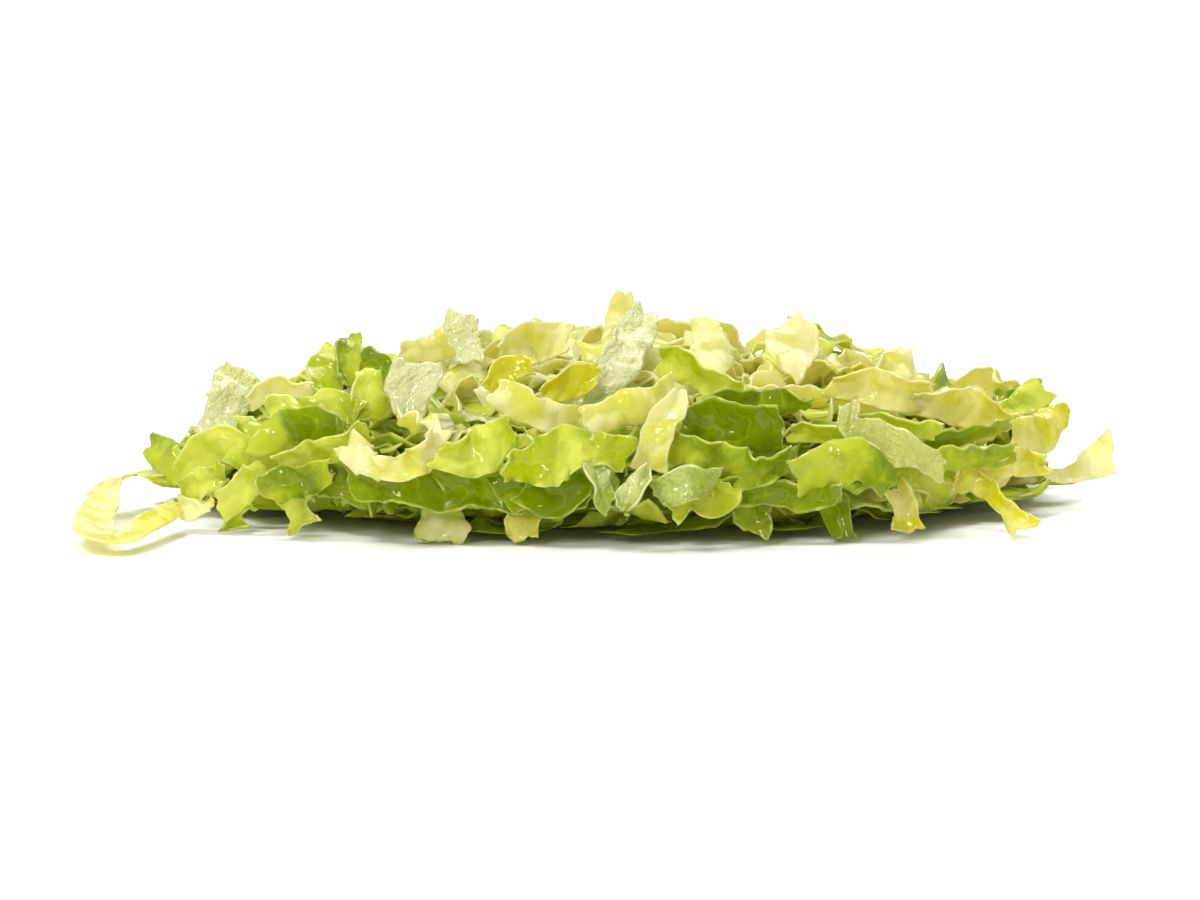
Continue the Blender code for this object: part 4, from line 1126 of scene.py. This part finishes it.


# How far the edge frills, and how green the leaf is along it: 0 is pale and 1 green, and past
# them the leaf is so all over. The greens are mostly the leaf's own; where a shred lies in shade
# they also hold painted shade, as at the left end of broad_leaf_middle and in the middle of
# low_leaf_left_c.
LOOKS = {
    "spike_chip_top": (0.4, (0.4, 0.3, 0.3)),
    "square_chip_top_left": (0.2, (0.1, 0.2, 0.4)),
    "strand_top_left": (0.4, (0.2, 0.3, 0.1)),
    "crest_chip_left": (0.5, (0.1, 0.3, 0.2)),
    "crest_chip_middle": (0.4, (0.2, 0.0, 0.2)),
    "crest_chip_right": (0.3, (0.4, 0.0, 0.2)),
    "pale_chip_upper_left": (0.3, (0.0, 0.1, 0.7)),
    "long_pale_left": (0.3, (-0.3, 0.1, 0.0)),
    "green_chip_left_a": (0.3, (0.9, 0.5, 0.0)),
    "green_chip_left_b": (0.3, (0.6, 0.1, 0.4)),
    "green_leaf_left": (0.4, (1.0, 1.1, 0.8)),
    "lime_chip_left": (0.2, (1.0, 0.6, 0.1, 0.0)),
    "left_corner_leaf": (0.4, (0.7, 0.3, 0.3)),
    "left_side_leaf": (0.3, (0.2, 0.0, 0.3, 0.7)),
    "folded_leaf_left": (0.2, (-0.6, -0.5, -0.2, 1.2, 1.0, 0.9, 0.9)),
    "lime_leaf_left": (0.3, (0.3, 0.2, 0.4, 0.6)),
    "low_leaf_left_a": (0.6, (0.5, 0.0, 0.3)),
    "low_leaf_left_b": (0.5, (0.0, 0.1, 0.8)),
    # Its green middle is painted shade in the hollow of its fold
    "low_leaf_left_c": (0.7, (0.1, 0.9, 0.8, 0.3)),
    "clear_chip_middle_left": (0.3, (0.3, 0.0, 0.1)),
    "curled_shred": (1.1, (0.1, -0.3, 0.4, 0.7, -0.3, 0.0, 0.8)),
    "middle_left_leaf": (0.4, (0.3, 0.2, 0.0, 0.9)),
    "ruffled_leaf_middle": (0.3, (0.1, 0.8, 0.1, 0.2)),
    # Its deeper green at the left end is painted shade
    "broad_leaf_middle": (0.8, (0.9, 1.2, 0.5, 0.2, 0.5, 1.0)),
    "green_ribbon_right": (0.7, (0.9, 1.0, 0.8, 0.6)),
    "leaf_upper_right": (0.4, (0.6, 0.3, 0.1, 0.0)),
    "flat_leaf_right": (0.2, (1.0, 0.6, 0.2)),
    "wave_leaf_right": (0.7, (0.3, 0.3, 0.6, 0.7)),
    "glossy_leaf_right": (0.4, (0.2, -0.1, 0.6, 0.9)),
    "wavy_ribbon_right": (0.5, (0.8, 1.0, 0.7, 0.9)),
    "tongue_far_left": (0.5, (0.5, 0.4, 0.9)),
    "tongue_left": (0.4, (0.4, 0.1, 0.5)),
    "tongue_low_left": (0.2, (0.9, 0.7, 0.5)),
    "tongue_middle_right": (0.5, (0.9, 0.6, 0.4)),
    "tongue_right": (0.5, (0.5, 0.3, 0.9)),
    "tongue_low_right": (0.2, (0.8, 1.0, 1.1)),
    "tongue_low_middle": (0.4, (0.9, 1.0, 0.7)),
    "yellow_tail_right": (0.4, (0.6, 0.9, 0.3)),
    "looped_shred_left": (0.1, (0.6, 0.2, 0.1, 0.2, 0.7, 0.4)),
    "tail_shred_right": (0.2, (0.5, 0.2, -0.2)),
    "rib_shred_middle": (0.3, (-0.3, -0.2, 0.1, 0.2)),
    "arched_shred_middle": (0.4, (0.2, 0.6, 0.5, 0.2)),
    "forked_shred_middle": (0.4, (0.1, 0.3, 0.8, 0.5)),
}


def front_shred(name, seed, leaf, widths, turns, ruffle, line):
    """A shred that lies where its line is seen from the front."""
    places = line_on_mound([[value * MM for value in point] for point in line])
    widths = [w * MM for w in widths]
    shred = Shred(leaf, places, widths, turns, ruffle * MM, FRONT_FACING, random.Random(seed))
    shred.frill, shred.greens = LOOKS.get(name, (shred.frill, shred.greens))
    return shred, places


# The looped shred is a smooth ribbon, with longer waves and a lower relief than the rest
LOOP_WAVES = 3.0
LOOP_RELIEF = {"Blister height": 0.3 * MM, "Crinkle height": 0.08 * MM}

for number, (name, leaf, widths, turns, ruffle, line) in enumerate(FRONT_SHREDS):
    shred, places = front_shred(name, FRONT_SEED + number, leaf, widths, turns, ruffle, line)
    relief_sizes = {}
    if name == "looped_shred_left":
        shred.waves = LOOP_WAVES
        relief_sizes = LOOP_RELIEF
    outward = (lens_normal(places[len(places) // 2], MOUND) + Vector((0, -1, 0))).normalized()
    settle(shred, outward, name)
    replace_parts(loose_piece(name, shred, **relief_sizes), name)


# The shreds behind them
# More cuts of leaf show between the ones in front: broad leaves below in their deepest green, painted
# shade where the mound is in shade, crumpled glossy ribs in the middle, and long flat layers that run
# out to the right.

BACKING_SEED = 400
BACKING_SHREDS = (
    # The shaded leaves get greens past 1, their deepest green all along: painted shade for the dark
    # hollows below the front shreds
    ("shaded_leaf_left", "green_leaf", (4.0, 5.6, 5.0), (10, -5, 15), 0.6, (1.1, 1.2, 1.1),
     ((-31.0, 2.4, 1), (-25.0, 1.6, 1), (-18.0, 1.4, 1), (-11.0, 1.2, 1))),
    ("shaded_leaf_middle", "green_leaf", (5.0, 6.6, 5.0), (-10, 10, 0), 0.6, (1.2, 1.0, 1.2),
     ((-13.0, 0.6, 1), (-7.0, 2.0, 1), (-1.6, 1.0, 1))),
    ("shaded_leaf_right", "green_leaf", (5.0, 6.4, 5.0), (-10, 5, 10), 0.6, (1.3, 1.2, 1.3),
     ((8.6, 8.6, 1), (14.0, 8.8, 1), (21.0, 8.8, 1))),
    ("crumpled_leaf_a", "wet_leaf", (2.0, 3.6, 2.4), (20, -30, 25), 0.9, (0.8, 0.5, 0.9),
     ((-1.8, 5.0, 5), (-1.6, 2.4, 6), (0.4, -0.6, 6))),
    ("crumpled_leaf_b", "wet_leaf", (1.4, 3.4, 2.6), (-20, 20, -15), 0.8, (0.1, 0.3, 0.6),
     ((4.8, 3.8, 6), (3.2, 1.2, 7), (1.6, -0.8, 6))),
    ("crumpled_leaf_c", "wet_leaf", (2.6, 4.2, 2.6), (15, -15, 20), 0.7, (0.7, 0.5, 0.9),
     ((5.8, 0.6, 5), (9.4, 1.8, 6), (13.4, 2.6, 5))),
    ("folded_lime_leaf_middle", "lime_leaf", (3.0, 4.4, 3.4), (10, 30, -10), 0.9, (1.0, 0.8, 1.0),
     ((7.6, -1.4, 4), (9.6, 0.8, 4), (12.6, 0.0, 4), (14.4, 2.0, 3))),
    ("yellow_leaf_crest_left", "yellow_leaf", (2.4, 3.6, 2.4), (10, 0, -15), 0.5, (1.1, 1.2, 0.9),
     ((-14.4, 13.0, 1), (-12.0, 15.4, 1), (-9.0, 16.0, 1))),
    ("yellow_leaf_crest_middle", "yellow_leaf", (2.4, 4.0, 2.6), (15, 5, -10), 0.5, (0.8, 1.2, 1.0),
     ((-8.0, 12.6, 1), (-4.4, 13.8, 1), (-1.0, 15.2, 1))),
    ("ruffled_lime_leaf_left", "lime_leaf", (3.0, 4.4, 3.4), (10, -20, 15), 0.9, (0.0, 0.2, 0.6),
     ((-41.0, 11.0, 2), (-37.0, 10.6, 2), (-33.0, 11.4, 2), (-30.0, 9.6, 2))),
    ("pale_end_left", "pale_leaf", (2.0, 2.6, 2.0), (10, 0, -10), 0.3, (0.0, 0.1, 0.2),
     ((-51.6, -0.8, 4), (-49.6, -1.2, 5), (-47.4, -0.6, 5))),
    ("long_layer_right_a", "lime_leaf", (2.2, 3.2, 2.0), (25, 10, 35), 0.5, (0.7, 0.9, 0.6),
     ((22.0, 8.2, 1), (28.0, 8.0, 1), (34.0, 9.0, 1), (40.0, 8.4, 1))),
    ("long_layer_right_b", "green_leaf", (2.4, 3.6, 2.2), (20, 40, 10), 0.6, (0.8, 0.6, 0.9),
     ((33.0, 3.4, 2), (38.0, 4.4, 2), (44.0, 5.2, 2), (49.0, 5.6, 1))),
    ("long_layer_right_c", "green_leaf", (3.0, 4.0, 2.6), (10, 30, 15), 0.8, (1.0, 0.7, 0.9),
     ((8.0, -0.6, 1), (14.0, 1.6, 1), (21.0, 0.8, 1), (28.0, 0.4, 1))),
    ("long_layer_right_d", "yellow_leaf", (3.0, 4.6, 3.0), (30, 15, 35), 0.5, (0.2, 0.5, 0.8),
     ((36.0, 12.0, 1), (42.0, 11.4, 1), (49.0, 9.6, 1))),
    ("long_layer_right_e", "yellow_leaf", (3.0, 5.0, 3.0), (25, 5, 30), 0.5, (0.4, -0.1, 0.3),
     ((27.0, 14.4, 1), (33.0, 13.2, 1), (39.0, 12.8, 1))),
    ("long_layer_right_f", "yellow_leaf", (2.4, 3.8, 2.4), (15, 30, 0), 0.7, (0.9, 0.4, 0.9),
     ((42.0, 1.8, 2), (47.0, 4.2, 2), (53.0, 4.4, 1))),
    # Painted shade: its deepest green stands for the dark hollow below the middle shreds
    ("shaded_leaf_low", "green_leaf", (4.4, 5.4, 3.6), (10, 0, -10), 0.5, (1.2, 1.4, 1.2),
     ((-10.0, 1.6, 2), (-6.0, 0.9, 2), (-1.8, 1.6, 2))),
)
for number, (name, leaf, widths, turns, ruffle, greens, line) in enumerate(BACKING_SHREDS):
    shred, _ = front_shred(name, BACKING_SEED + number, leaf, widths, turns, ruffle, line)
    shred.greens = greens
    loose_piece(name, shred)


# The loose shreds of the sides and the back
# Cuts of the same leaves lie round the rest of the mound as they fell. Each follows the mound's
# side, held by the shreds below it, and the lowest ones rest at its foot.

ROUND_SHREDS = (
    ("lime_leaf", 8, 0.25), ("green_leaf", 24, 0.2), ("yellow_leaf", 40, 0.15),
    ("pale_leaf", 55, 0.45), ("green_leaf", 70, 0.2), ("lime_leaf", 86, 0.35),
    ("clear_rib", 101, 0.36), ("green_leaf", 116, 0.2), ("pale_leaf", 131, 0.15),
    ("lime_leaf", 62, 0.0), ("green_leaf", 93, 0.0), ("lime_leaf", 124, 0.0),
)
ROUND_SEED = 41
ROUND_LENGTH = (14 * MM, 24 * MM)
ROUND_WIDTH = (4.5 * MM, 6.5 * MM)
ROUND_SWELL = 0.98
ROUND_CLIMB = 12
ROUND_TURN = 35
RIM_RISE = math.radians(7)
CREST_RISE = math.radians(83)


def round_shred(number, leaf, bearing, rise):
    """A loose shred that lies along the mound's side at a bearing."""
    draw = random.Random(ROUND_SEED + number)
    length = draw.uniform(*ROUND_LENGTH)
    width = draw.uniform(*ROUND_WIDTH)
    climb = math.radians(draw.uniform(-ROUND_CLIMB, ROUND_CLIMB))
    angle = math.radians(bearing)
    up_share = math.sin(RIM_RISE + (CREST_RISE - RIM_RISE) * rise)
    flat_share = math.sqrt(1 - up_share**2)
    way = Vector((math.cos(angle) * flat_share, math.sin(angle) * flat_share, up_share))
    spot = Vector([w * a for w, a in zip(way, MOUND)])
    spot = spot / swell(spot, MOUND)
    out = lens_normal(spot, MOUND)
    level = Vector((0, 0, 1)).cross(out).normalized()
    slope = out.cross(level)
    run = level * math.cos(climb) + slope * math.sin(climb)
    line = []
    for share in ALONG:
        place = spot + run * length * share
        line.append(place / swell(place, MOUND) * ROUND_SWELL)
    turns = [draw.uniform(-ROUND_TURN, ROUND_TURN) for _ in range(3)]
    widths = (0.7 * width, width, 0.6 * width)
    ruffle = draw.uniform(0.6, 1.1) * MM
    return Shred(leaf, line, widths, turns, ruffle, out, draw), out


for number, (leaf, bearing, rise) in enumerate(ROUND_SHREDS):
    name = f"loose_shred_{number + 1:02d}"
    shred, out = round_shred(number, leaf, bearing, rise)
    settle(shred, out, name)
    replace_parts(loose_piece(name, shred), name)


# The studio
# A pale floor, soft light from above and from behind that shines through the leaves, a weaker
# one from the front left, and a long lens a little above the table.

CAMERA_DISTANCE = 1.6
FRONT_PLANE = -35 * MM
FRAME_WIDTH = 144 * MM
SENSOR = 36.0
AIM_RIGHT = -0.84 * MM
AIM_UP = 6.0 * MM

bpy.ops.mesh.primitive_plane_add(size=6)
floor = bpy.context.object
floor.name = "floor"
floor_paint = bpy.data.materials.new("pale floor")
floor_paint.use_nodes = True
floor_skin = floor_paint.node_tree.nodes["Principled BSDF"]
floor_skin.inputs["Base Color"].default_value = (0.9, 0.9, 0.89, 1)
floor_skin.inputs["Roughness"].default_value = 0.8
floor.data.materials.append(floor_paint)

world = bpy.data.worlds.new("studio")
bpy.context.scene.world = world
world.use_nodes = True
backdrop = world.node_tree.nodes["Background"]
backdrop.inputs["Color"].default_value = (1.0, 1.0, 0.99, 1)
backdrop.inputs["Strength"].default_value = 0.57


def soft_light(name, way, strength, spread):
    """A broad light from far off. Its way points from the mound to the light."""
    lamp = bpy.data.lights.new(name, "SUN")
    lamp.energy = strength
    lamp.angle = math.radians(spread)
    holder = bpy.data.objects.new(name, lamp)
    holder.rotation_euler = Vector(way).to_track_quat("Z", "Y").to_euler()
    bpy.context.scene.collection.objects.link(holder)


soft_light("top light", (-0.4, -0.32, 1.0), 1.85, 20)
soft_light("back light", (0.3, 0.7, 1.0), 1.8, 40)
soft_light("front window", (-0.45, -1.0, 0.6), 0.8, 13)

view = bpy.context.scene.view_settings
view.view_transform = "Standard"

lens = bpy.data.cameras.new("camera")
lens.sensor_width = SENSOR
lens.lens = SENSOR * (CAMERA_DISTANCE + FRONT_PLANE) / FRAME_WIDTH
camera = bpy.data.objects.new("camera", lens)
sight = Vector((0, math.cos(SIGHT_RISE), -math.sin(SIGHT_RISE)))
upward = Vector((0, math.sin(SIGHT_RISE), math.cos(SIGHT_RISE)))
aim = Vector((AIM_RIGHT, 0, 0)) + upward * AIM_UP
camera.location = aim - sight * CAMERA_DISTANCE
camera.rotation_euler = sight.to_track_quat("-Z", "Y").to_euler()
bpy.context.scene.collection.objects.link(camera)
bpy.context.scene.camera = camera
